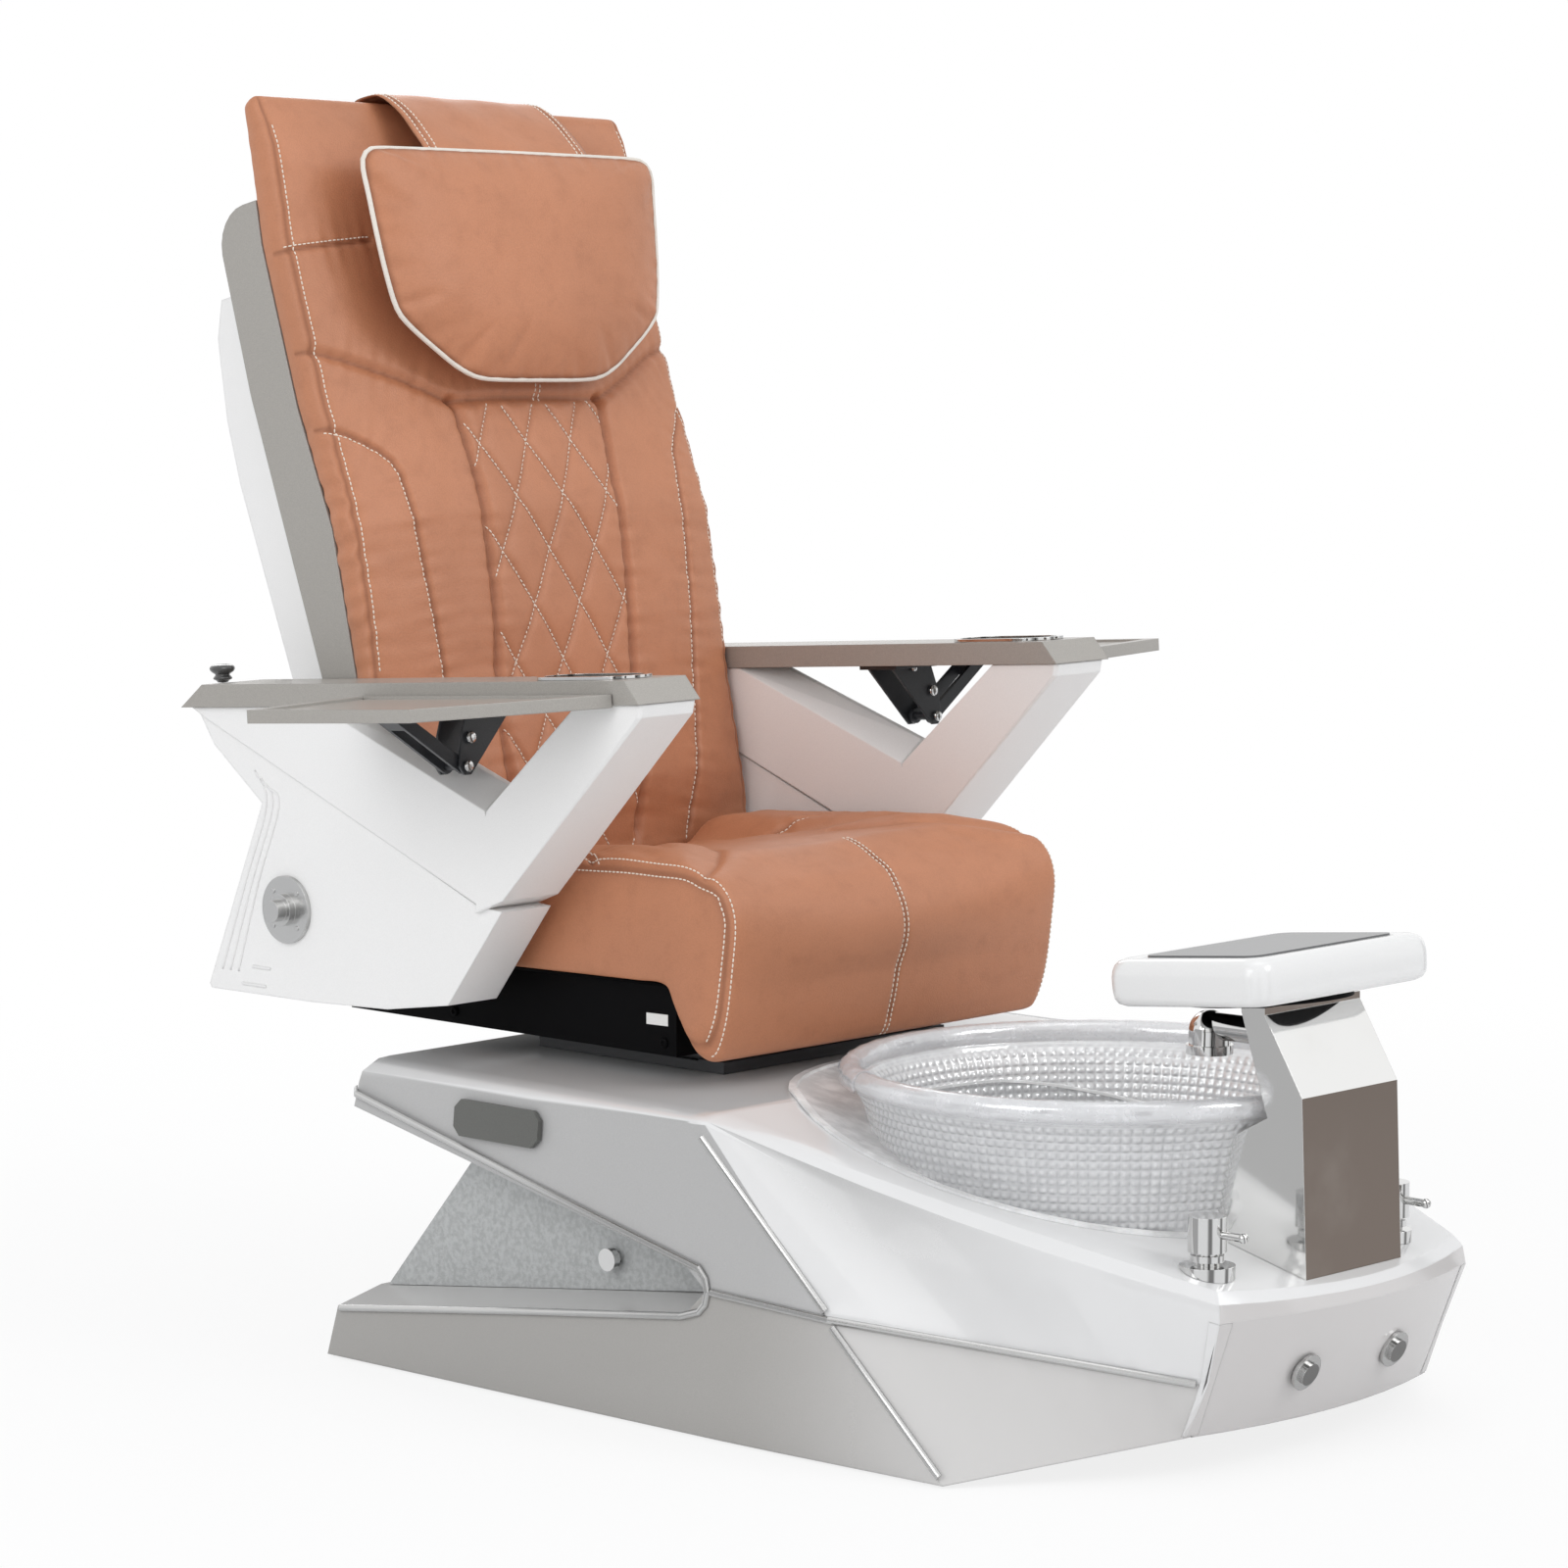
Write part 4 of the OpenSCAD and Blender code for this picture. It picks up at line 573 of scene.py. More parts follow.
def skin(node, angle=28):
    """A copy of a node's surface with its triangles joined and shaded smooth up to its real edges."""
    source = frame["nodes"][node]
    obj = bpy.data.objects.new(node + "_skin", source.data.copy())
    scene.collection.objects.link(obj)
    bm = bmesh.new()
    bm.from_mesh(obj.data)
    bmesh.ops.remove_doubles(bm, verts=bm.verts, dist=0.00002)
    bmesh.ops.dissolve_limit(bm, angle_limit=math.radians(0.15), verts=bm.verts, edges=bm.edges)
    for face in bm.faces:
        face.smooth = True
    for edge in bm.edges:
        edge.smooth = len(edge.link_faces) == 2 and edge.calc_face_angle(0) < math.radians(angle)
    bm.to_mesh(obj.data)
    bm.free()
    even = obj.modifiers.new("even", "WEIGHTED_NORMAL")
    even.keep_sharp, even.weight = True, 50
    bake_modifiers(obj)
    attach(obj, source["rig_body"])
    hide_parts(node)
    return obj


for name in ["upper_shell", "lower_shell", "back_side_shell", "back_rear_shell", "spout", "bowl_collar"]:
    skin(name)
for name in ["valve_body", "valve_handle", "pivot_cap", "button", "notch_knob", "arm_ring"]:
    for side in SIDES:
        skin(name + "_" + side, 35)


# ---- Footrest and front corners ---------------------------------------------------------------


def make_footrest():
    """Padded-edge footrest tray with soft rounded rims and a slightly bowed front."""
    half, front, rear, tall, corner, recess, deep = 154, -114, 100, 52, 22, 30, 5
    stand_y, stand_z, tilt = -480, 488, math.radians(5.5)
    arc = []
    for cx, cy, first in ((half, rear, 0), (-half, rear, 90), (-half, front, 180), (half, front, 270)):
        for k in range(13):
            a = math.radians(first + 7.5 * k)
            arc.append((cx + corner * (math.cos(a) - np.sign(cx)), cy + corner * (math.sin(a) - np.sign(cy))))
    arc = along(arc + [arc[0]], count=241)[:-1]
    mid, reach = (front + rear) / 2, (rear - front) / 2
    rows = []
    for inset, z in ((22, 0.6), (9, 1.2), (4, 4), (1.2, 9), (0.3, 16), (0, 24), (0, 32), (0.8, 39), (2.6, 45),
                     (6, 49.4), (11, 51.6), (17, tall), (recess - 2.5, tall), (recess - 0.6, tall - 0.5),
                     (recess, tall - 1.6), (recess, tall - deep)):
        x, y = arc.T
        x = x - np.sign(x) * inset * np.minimum(1, np.abs(x) / (half - corner))
        y = y - np.sign(y - mid) * inset * np.minimum(1, np.abs(y - mid) / (reach - corner))
        y = y + smooth(-y, 60, 110) * 2.5 * (x / half) ** 2
        rows.append(np.column_stack([x, y, np.full(len(arc), z)]))
    x, y, z = np.vstack(rows).T
    c, s = math.cos(tilt), math.sin(tilt)
    place = np.stack([x, stand_y + y * c + z * s, stand_z - y * s + z * c], axis=1)
    body = piece("footrest_tray", place * MM, capped(len(rows), len(arc)), SHINY,
                 frame["nodes"]["footrest_shell"]["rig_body"])
    for face in body.data.polygons[-2:]:
        face.use_smooth = False
    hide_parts("footrest_shell")


make_footrest()


def fill_corner(side, name):
    """Body-colour cover strip round the joint between the two shells at a front corner."""
    # the shell's edge and a point behind it, at the floor, the waist and the crease
    rings = [((212, -541, 45), (246.8, -514.2, 38)), ((207, -566, 104), (242.2, -508.5, 112.8)),
             ((218, -590, 176), (253.7, -496.7, 197.9))]
    floor_z, crease_z = 45, 176
    rows = []
    for low, high, steps in ((0, 1, (0.04, 0.4, 0.75)), (1, 2, (0.05, 0.3, 0.55, 0.8, 0.98))):
        for v in steps:
            edge, back = (np.array(rings[low][k]) * (1 - v) + np.array(rings[high][k]) * v for k in (0, 1))
            wing = edge + (back - edge) * 0.12
            t = (edge[2] - floor_z) / (crease_z - floor_z)
            face = np.array([197.2 + 5.5 * t, -545 - 50.4 * t, edge[2]])
            rows += [wing + (0.9, -0.5, 0), edge + (0.8, -0.7, 0), face - (0, 0.7, 0), face + (0, 5.0, 0),
                     edge + (-4.0, 5.0, 0), wing + (-4.0, 2.6, 0)]
    strip = piece("corner_cover_" + name, np.array(rows) * MM * (side, 1, 1), capped(len(rows) // 6, 6), UPPER,
                  "base", smooth=False)
    weld(strip, 0)


fill_corner(-1, "right")
fill_corner(1, "left")


# ---- Backrest pad -----------------------------------------------------------------------------

LEAN = math.radians(13)
BACK_IN = (0, math.cos(LEAN), -math.sin(LEAN))
HINGE_Y, HINGE_Z = 600, 440
BACK_HALF, PAD_LOW, PAD_TALL, PAD_TOP, PAD_SKEW = 303, 98, 938, 1022, 10.5
EDGE_STITCH, BEFORE_PAD = 291.0, -60.0
PAD_REAR = [[98, -36], [128, -30], [300, -34], [520, -34], [670, -8], [870, 8], [1060, 0]]
PAD_SIDE = [[98, 22], [150, 29], [300, 29], [384, 37], [639, 45], [1040, 45]]


def on_back(points):
    """Points x, depth, height in the backrest's own frame (mm) as metres in the row frame."""
    x, y, z = np.array(points, float).reshape(-1, 3).T
    c, s = math.cos(LEAN), math.sin(LEAN)
    return np.stack([x, HINGE_Y + y * c + z * s, HINGE_Z - y * s + z * c], axis=1) * MM


def off_back(points):
    """The inverse of on_back."""
    x, y, z = (np.array(points, float).reshape(-1, 3) / MM).T
    c, s = math.cos(LEAN), math.sin(LEAN)
    y, z = y - HINGE_Y, z - HINGE_Z
    return np.stack([x, y * c - z * s, y * s + z * c], axis=1)


def upright(flat, depth):
    """Points (x, height) at one depth."""
    return np.column_stack([flat[:, 0], np.full(len(flat), float(depth)), flat[:, 1]])


def pad_edge_line(z):
    return lookup(z, PAD_REAR) - lookup(z, PAD_SIDE)


def pad_front(u, f):
    """Depth of the pad's face: u from edge to edge, f from bottom to top."""
    crown = 26 * (1 - u * u) ** 0.6 * min(1, f * 12, (1.03 - f) * 9)
    return pad_edge_line(PAD_LOW + f * PAD_TALL) - crown + 14 * (max(0, f - 0.9) * 10) ** 3


CREASES = {  # plain folds: line in (x, height), depth, half width
    "slant_near": ([(-330, 741), (-260, 718), (-180, 690), (-111, 660)], 7, 7),
    "slant_far": ([(141, 656), (200, 683), (259, 713), (300, 724)], 7, 7),
    "level": ([(-113, 660), (-40, 662), (60, 660), (141, 657)], 7, 6),
    "panel_near": ([(-107, 662), (-104, 552), (-108, 432), (-116, 325), (-122, 230), (-118, 98)], 9, 6),
    "panel_far": ([(142, 657), (127, 543), (119, 420), (111, 310), (106, 190), (96, 98)], 9, 6),
}
SEAMS = {  # stitched folds
    "bolster_near": ([(-312, 641), (-278, 626), (-244, 606), (-226, 590), (-219, 570), (-212, 480), (-207, 415),
                      (-199, 332), (-192, 230), (-186, 98)], 4.5, 4),
    "bolster_far": ([(300, 655), (275, 619), (256, 590), (246, 540), (233, 387), (224, 304), (208, 206),
                     (186, 98)], 4.5, 4),
    "yoke_near": ([(-325, 853), (-250, 858), (-181, 862)], 4, 4),
    "yoke_far": ([(205, 852), (262, 850), (310, 848)], 4, 4),
}
QUILT_STEP, QUILT_X, QUILT_Z, QUILT_SLOPE = 77.0, -8.0, 606.0, 0.5757
FOLDS = [*CREASES.values(), *SEAMS.values()]


def panel_edges(z):
    """Near and far edge of the quilted panel at a height."""
    lines = [np.array(CREASES[name][0])[::-1] for name in ("panel_near", "panel_far")]
    return [np.interp(z, line[:, 1], line[:, 0]) for line in lines]


def quilt_lines():
    """The slanted stitch lines of the quilted panel, in (x, height)."""
    lines = []
    z = np.arange(100, 657, 4.0)
    near, far = panel_edges(z)
    for way in (1, -1):
        for k in range(-9, 10):
            x = QUILT_X + QUILT_STEP * k + way * (QUILT_Z - z) * QUILT_SLOPE
            inside = (x > near + 2) & (x < far - 2)
            if inside.sum() > 3:
                lines.append(np.stack([x, z], axis=1)[inside])
    return lines


def make_pad():
    levels, turn, half = 74, 5, BACK_HALF - 4
    t = np.linspace(1, -1, 57)
    us = 0.6 * t + 0.4 * np.sin(t * math.pi / 2)
    rows = []

    def height(u, f):
        low = PAD_LOW + 12
        return low + f * (PAD_TOP - PAD_SKEW * u - low)

    for k in range(-turn, levels + turn):
        f = min(max(k / (levels - 1), 0), 1)
        past = max(-k, k - levels + 1, 0) / turn
        c, lift = math.cos(past * math.pi / 2), math.sin(past * math.pi / 2) * 13
        front, rear = pad_front(1, f), lookup(PAD_LOW + f * PAD_TALL, PAD_REAR) - 0.5
        flanks = [[(u * (half + 5 * math.sin(math.pi * g)), front + g * (rear - front), height(u, f), 1)
                   for g in np.linspace(0, 1, 6)[1:-1]] for u in (-1, 1)]
        ring = np.array([(u * half, pad_front(u, f) + 2.5, height(u, f), 0) for u in us] + flanks[0]
                        + [(u * half, rear, height(u, f), 2) for u in us[::-1]] + flanks[1][::-1], float)
        mid = (front + rear) / 2 - 6
        ring[:, 1] = mid + (ring[:, 1] - mid) * c
        ring[:, 0] *= 1 - 0.03 * past**2
        ring[:, 2] += lift if k > 0 else -lift
        rows.append(ring)
    rings = np.vstack(rows)
    faces = grid(len(rows), len(rows[0]), wrap_cols=True)
    pad = piece("back_cushion", on_back(rings[:, :3]), faces, TAN, None)
    held = rings[:, 3] > 0
    for line, _, _ in FOLDS:
        held |= away(rings[:, [0, 2]], line)[0] < 6.5
    held |= np.abs(rings[:, 0]) > BACK_HALF - 9
    held |= (rings[:, 2] > PAD_TOP - 12) | (rings[:, 2] < PAD_LOW + 14)
    swell(pad, held, 5.0, 9 * MM)
    weld(pad)
    subdivide(pad, 2)
    p = off_back(co(pad))
    x, z, flat = p[:, 0], p[:, 2], p[:, [0, 2]]
    front = smooth(-(p[:, 1] - lookup(z, PAD_REAR)), 18, 30)
    sink, seam = np.zeros(len(p)), np.zeros(len(p))
    for seed, (line, depth, wide) in enumerate(FOLDS):
        gap, run = away(flat, line)
        sink += depth * np.exp(-(gap / wide) ** 2) + 1.3 * np.exp(-gap / 20) * ripple(run, seed)
        # painted shade along each crease and stitched fold
        seam = np.maximum(seam, np.exp(-(gap / 2.6) ** 2))
    left, right = panel_edges(z)
    inside = smooth(x - left, 3, 14) * smooth(right - x, 3, 14) * (1 - smooth(z, 645, 656))
    a = (x - QUILT_X - (QUILT_Z - z) * QUILT_SLOPE) / QUILT_STEP
    b = (x - QUILT_X + (QUILT_Z - z) * QUILT_SLOPE) / QUILT_STEP
    near = np.minimum(np.abs(a - np.round(a)), np.abs(b - np.round(b))) * QUILT_STEP * 0.87
    puff = np.sqrt(np.abs(np.sin(math.pi * a) * np.sin(math.pi * b)))
    sink += inside * (4.2 * (1 - puff) * np.exp(-near / 26) - 1.5 + 1.8 * np.exp(-(near / 3) ** 2))
    seam = np.maximum(seam, inside * 0.6 * np.exp(-(near / 2.2) ** 2))
    edge = BACK_HALF - 3 - np.abs(x)
    slack = 1 - smooth(z, 560, 700)
    sink += (2.0 * np.exp(-((edge - 5) / 4) ** 2)
             + (0.35 + 1.1 * slack) * np.exp(-np.abs(edge) / 26) * ripple(z * 0.75, 5.0))
    sink += 2.2 * clouds(p, 130.0) + 0.9 * clouds(p, 34.0, 7.0)
    out = p.copy()
    out[:, 1] += front * sink
    side = 1 - smooth(edge, -2, 9)
    fold = ripple(z * 0.8, 9.0) * smooth(p[:, 1] - pad_edge_line(z), -8, 6)
    loose = (0.4 + 1.2 * slack) * (1 + 0.5 * np.sin(z / 67)) * (1 - smooth(z, 1000, 1030))
    out[:, 0] += np.sign(x) * side * fold * loose
    put(pad, on_back(out))
    # painted shade on the pad's face along its folds, quilting lines and edge stitching line
    paint_points(pad, (0.9 * seam + 0.8 * np.exp(-((edge - 4.5) / 2.4) ** 2)) * front)
    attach(pad, "back")
    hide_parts("back_pad")
    return pad


def stitch_back(pad):
    tree = surface(pad)
    rows = []

    def run(line, offset=0):
        line = along(line, pitch=3.0)
        rows.append(drop(tree, on_back(upright(line + across(line) * offset, BEFORE_PAD)), BACK_IN))

    for line, _, _ in SEAMS.values():
        run(line, -4.5 if line[0][0] > -320 else 5.0)
    for line in quilt_lines():
        run(line)
    z = np.arange(340, 1018, 8.0)
    for side in (-1, 1):
        run(np.stack([np.full(len(z), side * EDGE_STITCH), z], axis=1))
    for offset in (-4, 4):
        run([(31, 655), (33, 668), (38, 684)], offset)
    points, faces = stitch(rows)
    piece("back_stitching", points, faces, THREAD, "back")


stitch_back(make_pad())


# ---- Head pillow and its flap -----------------------------------------------------------------

PILLOW_HIGH, PILLOW_SEAM, PILLOW_SHIFT, PILLOW_TILT = 956.5, -110, 16, math.radians(2.4)
PILLOW_OUTLINE = [(0, 676), (70, 676.5), (104, 680), (132, 692), (160, 711), (196, 738), (216, 760), (226, 800),
                  (233, 850), (238, 900), (241, 925), (240, 941), (232, 951), (216, 955.5), (150, 956.5), (0, 957)]


def hang(points):
    """The pillow hangs a little askew and left of the middle."""
    c, s = math.cos(PILLOW_TILT), math.sin(PILLOW_TILT)
    x, depth, z = points.T
    z = z - PILLOW_HIGH
    return np.stack([PILLOW_SHIFT + x * c + z * s, depth, PILLOW_HIGH - x * s * 0.6 + z * c], axis=1)


def make_pillow():
    half = rounded(PILLOW_OUTLINE, 64)
    ring = np.vstack([half, (half * (-1, 1))[::-1][1:-1]])
    count, middle = len(ring), np.array([0, 822.0])
    parts = []
    for face, thick in ((-1, 24), (1, 17)):
        rows = []
        for s in np.array([1, 0.985, 0.955, 0.90, 0.82, 0.72, 0.60, 0.47, 0.34, 0.21, 0.09]):
            depth = PILLOW_SEAM + face * (3 + thick * (1 - s**7) ** 0.62 * (1 - 0.16 * s**2))
            rows.append(upright(middle + (ring - middle) * s, depth))
        last = (len(rows) - 1) * count
        faces = grid(len(rows), count, wrap_cols=True)
        faces += [(last + k, last + (k + 1) % count, last + count) for k in range(count)]
        parts.append((np.vstack([*rows, [[0, depth, middle[1]]]]), faces))
    n = len(parts[0][0])
    points, faces = gather(parts)
    faces += [(k, n + k, n + (k + 1) % count, (k + 1) % count) for k in range(count)]
    pillow = piece("head_pillow_cushion", on_back(hang(points)), faces, TAN, None)
    weld(pillow)
    swell(pillow, off_back(co(pillow))[:, 1] > PILLOW_SEAM - 3, 6.0, 7 * MM)
    subdivide(pillow, 2)
    p = off_back(co(pillow))
    shape = hang(upright(ring, PILLOW_SEAM))[:, [0, 2]]
    gap, run = away(p[:, [0, 2]], np.vstack([shape, shape[:1]]))
    front = smooth(-p[:, 1], 111, 116)
    out = p.copy()
    out[:, 1] += front * (1.5 * np.exp(-gap / 13) * ripple(run * 0.9, 3.0) + 1.2 * clouds(p, 90.0, 3.0)
                          + 0.5 * clouds(p, 26.0, 5.0))
    put(pillow, on_back(out))
    # painted shade along the sewn edge round the pillow's face
    paint_points(pillow, np.exp(-(gap / 4.0) ** 2))
    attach(pillow, "head_pillow")
    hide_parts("pillow")
    loop = upright(np.vstack([ring, ring[:2]]) * (1.004, 1), PILLOW_SEAM - 0.5)
    points, faces = tube(on_back(hang(loop)), 3.1 * MM, 12, ends=False)
    piping = piece("pillow_piping", points, faces, PIPING, "head_pillow", marks=np.zeros(len(points)))
    weld(piping)


def make_flap():
    """The leather flap that carries the pillow, from its roll over the top and down the rear."""
    path = [(-110, 950), (-107, 962), (-96, 980), (-78, 1006), (-60, 1025), (-46, 1036), (-34, 1041), (-18, 1042.5),
            (-4, 1042), (4, 1038), (7, 1030), (8, 1010), (9, 968)]
    line = rounded(path, 70)
    out = across(line)
    us = np.linspace(-1, 1, 45)
    half, hem, askew, middle = 136, 124, 0.04, PILLOW_SHIFT
    rows = []
    for i, (p, n) in enumerate(zip(line, out)):
        spread = half + 3 * math.exp(-((i - 8) / 10) ** 2)
        for face, order in ((1, us), (-1, us[::-1])):
            for u in order:
                soft = (1 - abs(u) ** 14) ** 0.5
                puff = 1.8 * soft + 0.8 * (1 - abs(u) ** 6) + 0.5 * math.sin(u * 9 + i * 0.16) * soft
                seamed = 1.1 * math.exp(-((abs(u) * half - hem) / 3.0) ** 2)
                off = face * (puff - seamed if face > 0 else 1.2 * soft)
                x = middle + u * spread
                rows.append((x, p[0] + n[0] * off, p[1] + n[1] * off - askew * x))
    rows = np.array(rows)
    # painted shade along the two hem lines
    marks = np.exp(-((np.abs(rows[:, 0] - middle) - hem) / 2.5) ** 2)
    flap = piece("headrest_flap_leather", on_back(rows), capped(len(line), 2 * len(us)), TAN, "back",
                 marks=marks)
    weld(flap)
    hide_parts("headrest_flap")
    tree = surface(flap)
    ways = on_back(np.column_stack([0 * out[:, 0], -out])) - on_back([[0, 0, 0]])
    rows = []
    for x in (middle - 119, middle - 129, middle + 119, middle + 129):
        over = np.column_stack([np.full(len(line), float(x)), line + out * 20 - (0, askew * x)])
        rows.append(drop(tree, on_back(over), ways, 0.03))
    points, faces = stitch(rows)
    piece("flap_stitching", points, faces, THREAD, "back")


make_pillow()
make_flap()


# ---- Seat cushion -----------------------------------------------------------------------------

SEAT_HALF, SEAT_FRONT, SEAT_TOP, OVER_SEAT = 284, 44, 588, 600.0
SEAT_CROWN = [[28, 2], [80, 12], [170, 4], [260, -8], [370, -20], [470, -30], [509, -40]]
SEAT_RISE = [[28, 0], [80, 4], [170, 12], [260, 20], [370, 28], [470, 30], [509, 26]]


def edge_drop(u, depth):
    s = max(0, abs(u) - 0.94) / 0.06
    return depth * (1 - math.sqrt(max(0, 1 - s * s)))


def seat_under(y):
    return 464 - (y - SEAT_FRONT - 106) / 50


def seat_paths(u):
    """Upper and lower paths of the cushion's section at u, front lip to rear, in (y, z)."""
    f, d, e = SEAT_FRONT + edge_drop(u, 9) + 3 * u * u, edge_drop(u, 15), edge_drop(u, 22)
    rise = smooth(abs(u) * SEAT_HALF, 150, 195)
    upper = [(f + 32, 385 + e), (f + 24, 402 + e * 0.7), (f + 14, 440), (f + 6, 492), (f + 1, 540),
             (f + 9, 570 - d / 2)]
    for back in (28, 55, 80, 125, 170, 215, 260, 315, 370, 420, 470, 500):
        upper.append((SEAT_FRONT + back, SEAT_TOP - 2 + lookup(back, SEAT_CROWN) + lookup(back, SEAT_RISE) * rise - d))
    lower = [(f + 62, 385 + e), (f + 72, 410 + edge_drop(u, 10)), (f + 88, 446)]
    lower += [(SEAT_FRONT + k, seat_under(SEAT_FRONT + k) + 0.5) for k in (112, 150, 220, 300, 380, 460, 506)]
    return rounded(upper, 60), rounded(lower, 60)


# the stitched seamline on the top, the plain folds and the short tufts, in (x, y)
SEAT_SEAM = [(-284, 262), (-269, 286), (-214, 366), (-150, 415), (-60, 434), (16, 434), (115, 430), (160, 408),
             (214, 366), (269, 286), (284, 262)]
SEAT_FOLDS = [[(-284, 92), (-232, 120), (-186, 160), (-158, 215), (-150, 300)],
              [(284, 92), (236, 120), (192, 160), (164, 215), (152, 300)]]
TUFTS = [[(-113, 331), (-139, 296)], [(-157, 262), (-150, 205)], [(-90, 395), (-60, 372)], [(62, 385), (92, 398)]]


def make_seat():
    t = np.linspace(-1, 1, 53)
    us = 0.55 * t + 0.45 * np.sin(t * math.pi / 2)
    rows, steps = [], 12
    for u in us:
        upper, lower = seat_paths(u)
        rear = np.linspace(upper[-1], lower[-1], steps + 1)[1:-1]
        lip = np.linspace(lower[0], upper[0], steps + 1)[1:-1]
        curve = np.sin(np.linspace(0, math.pi, steps + 1)[1:-1])
        lip[:, 1] -= 5 * curve
        rear[:, 0] += 3 * curve
        loop = np.vstack([upper, rear, lower[::-1], lip])
        rows.append(np.column_stack([np.full(len(loop), u * (SEAT_HALF - 2)), loop]))
    parts = [(np.vstack(rows), grid(len(rows), len(rows[0]), wrap_cols=True))]
    for end, side in ((rows[0], -1), (rows[-1], 1)):
        n = 60
        upper, lower = end[:n], end[n + steps - 1:2 * n + steps - 1][::-1]
        first, last = end[2 * n + steps - 1:][::-1], end[n:n + steps - 1]
        sheet = []
        for k, g in enumerate(np.linspace(0, 1, steps + 1)):
            line = upper + (lower - upper) * g
            if 0 < k < steps:
                line[0], line[-1] = first[k - 1], last[k - 1]
                line[1:-1, 0] += side * 5.0 * math.sin(math.pi * g) ** 0.7
            sheet.append(line)
        parts.append((np.vstack(sheet), grid(steps + 1, n)))
    points, faces = gather(parts)
    seat = piece("seat_cushion_leather", points * MM, faces, TAN, None)
    weld(seat, 0.0002)
    x, y, z = (co(seat) / MM).T
    held = (z < seat_under(y) + 6) | (y > 540) | ((z < 400) & (y < 130)) | ((y > 126) & (z < 470))
    held |= (np.abs(np.abs(x) - (SEAT_HALF - 4)) < 7) & (z > 380) & (np.abs(x) < SEAT_HALF - 1.9)
    held |= (away(np.stack([x, y], axis=1), SEAT_SEAM)[0] < 6) & (z > 530) & (np.abs(x) < SEAT_HALF - 8)
    swell(seat, held, 4.5, 9 * MM)
    subdivide(seat, 2)
    p = co(seat) / MM
    x, y, z = p.T
    flat, rim = p[:, :2], SEAT_HALF - np.abs(x)
    on_top = smooth(z - (SEAT_TOP - 52), 0, 16) * smooth(y, 60, 90) * smooth(rim, 2, 8)
    gap, run = away(flat, SEAT_SEAM)
    sink = 6 * np.exp(-(gap / 5) ** 2) + 1.5 * np.exp(-gap / 22) * ripple(run, 2.0)
    # painted shade along the stitched top line, then along folds and tufts
    seam = np.exp(-(gap / 2.8) ** 2)
    for lines, depth, wide, painted_darkening, fine in ((SEAT_FOLDS, 3.0, 6, 0.4, 3), (TUFTS, 3.4, 7, 0.5, 2.5)):
        for line in lines:
            gap = away(flat, line)[0]
            sink += depth * np.exp(-(gap / wide) ** 2)
            seam = np.maximum(seam, painted_darkening * np.exp(-(gap / fine) ** 2))
    sink += 3.0 * clouds(p, 150.0, 1.0) + 1.1 * clouds(p, 44.0, 4.0)
    out = p.copy()
    out[:, 2] -= on_top * sink
    ahead = (1 - smooth(y, 84, 104)) * smooth(z, 392, 410)
    fore, middle = on_top * (1 - smooth(y, 128, 140)), np.exp(-(x / 4.0) ** 2)
    out[:, 1] += ahead * (3.0 * middle + 1.5 * clouds(p, 120.0, 2.0))
    out[:, 2] -= fore * 2.5 * middle
    seam = np.maximum(seam * on_top, middle * (ahead + fore) * 0.8)
    crest = (smooth(z, 392, 404) * (y < 545) * np.exp(-((rim - 3) / 1.8) ** 2)
             * np.where(y < 130, 1, z > 520))
    flank = (rim < 2.5) & (z > seat_under(y) + 12)
    out[:, 0] += np.sign(x) * (flank * (1.4 * clouds(p, 120.0, 6.0)) - crest * 0.8)
    put(seat, out * MM)
    # painted shade along the top stitching, folds, tufts, the front crease and the side crest
    paint_points(seat, np.maximum(seam, crest * 0.8))
    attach(seat, "seat")
    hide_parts("seat_cushion")
    return seat


def stitch_seat(seat):
    tree = surface(seat)
    flat = along(SEAT_SEAM, pitch=3.0)
    rows = []
    for line in [flat - across(flat) * 5.5] + [along(line, pitch=3.0) for line in TUFTS]:
        rows.append(drop(tree, np.column_stack([line, np.full(len(line), OVER_SEAT)]) * MM, (0, 0, -1)))
    arc = [(150, 640), (104, 640), (60, 620), (24, 590), (8, 550), (4, 500), (10, 440), (30, 400), (52, 380)]
    line = along(rounded(arc, 60), pitch=3.0)
    ways = [(0, 120 - y, 520 - z) if z > 520 else (0, 1, 0) for y, z in line]
    for x in (-3.6, 3.6):
        rows.append(drop(tree, [(x * MM, y * MM, z * MM) for y, z in line], ways, 0.09))
    inner = along([q for q in seat_paths(0.965)[0] if q[0] < 330], pitch=3.0)
    ways = [Vector((0, 0, -1) if z > 575 else (0, 150 - y, 500 - z) if z > 540 else (0, 1, 0)) for y, z in inner]
    flank = []
    for y, z in seat_paths(0.999)[0]:
        d = np.array((y - 110, z - 520))
        if z < 540:
            flank.append((y + 5, z))
        elif y < 110:
            flank.append(np.array((y, z)) - d / np.linalg.norm(d) * 5)
        elif y <= 330:
            flank.append((y, z - 5))
    flank = along(flank, pitch=3.0)
    for side in (-1, 1):
        starts = [Vector((side * (SEAT_HALF - 9) * MM, y * MM, z * MM)) - way.normalized() * 0.01
                  for (y, z), way in zip(inner, ways)]
        rows.append(drop(tree, starts, ways, 0.03))
        rows.append(drop(tree, [(side * 0.4, y * MM, z * MM) for y, z in flank], (-side, 0, 0)))
    points, faces = stitch(rows)
    piece("seat_stitching", points, faces, THREAD, "seat")


stitch_seat(make_seat())


# ---- Bowl -------------------------------------------------------------------------------------

BOWL = np.array([0.0, -250.0])
BOWL_TOP, BOWL_R, ROLL_R, BOWL_FLOOR = 390, 290, 12, 183
HOBNAILS, HOBNAIL_PITCH = 144, 9.8


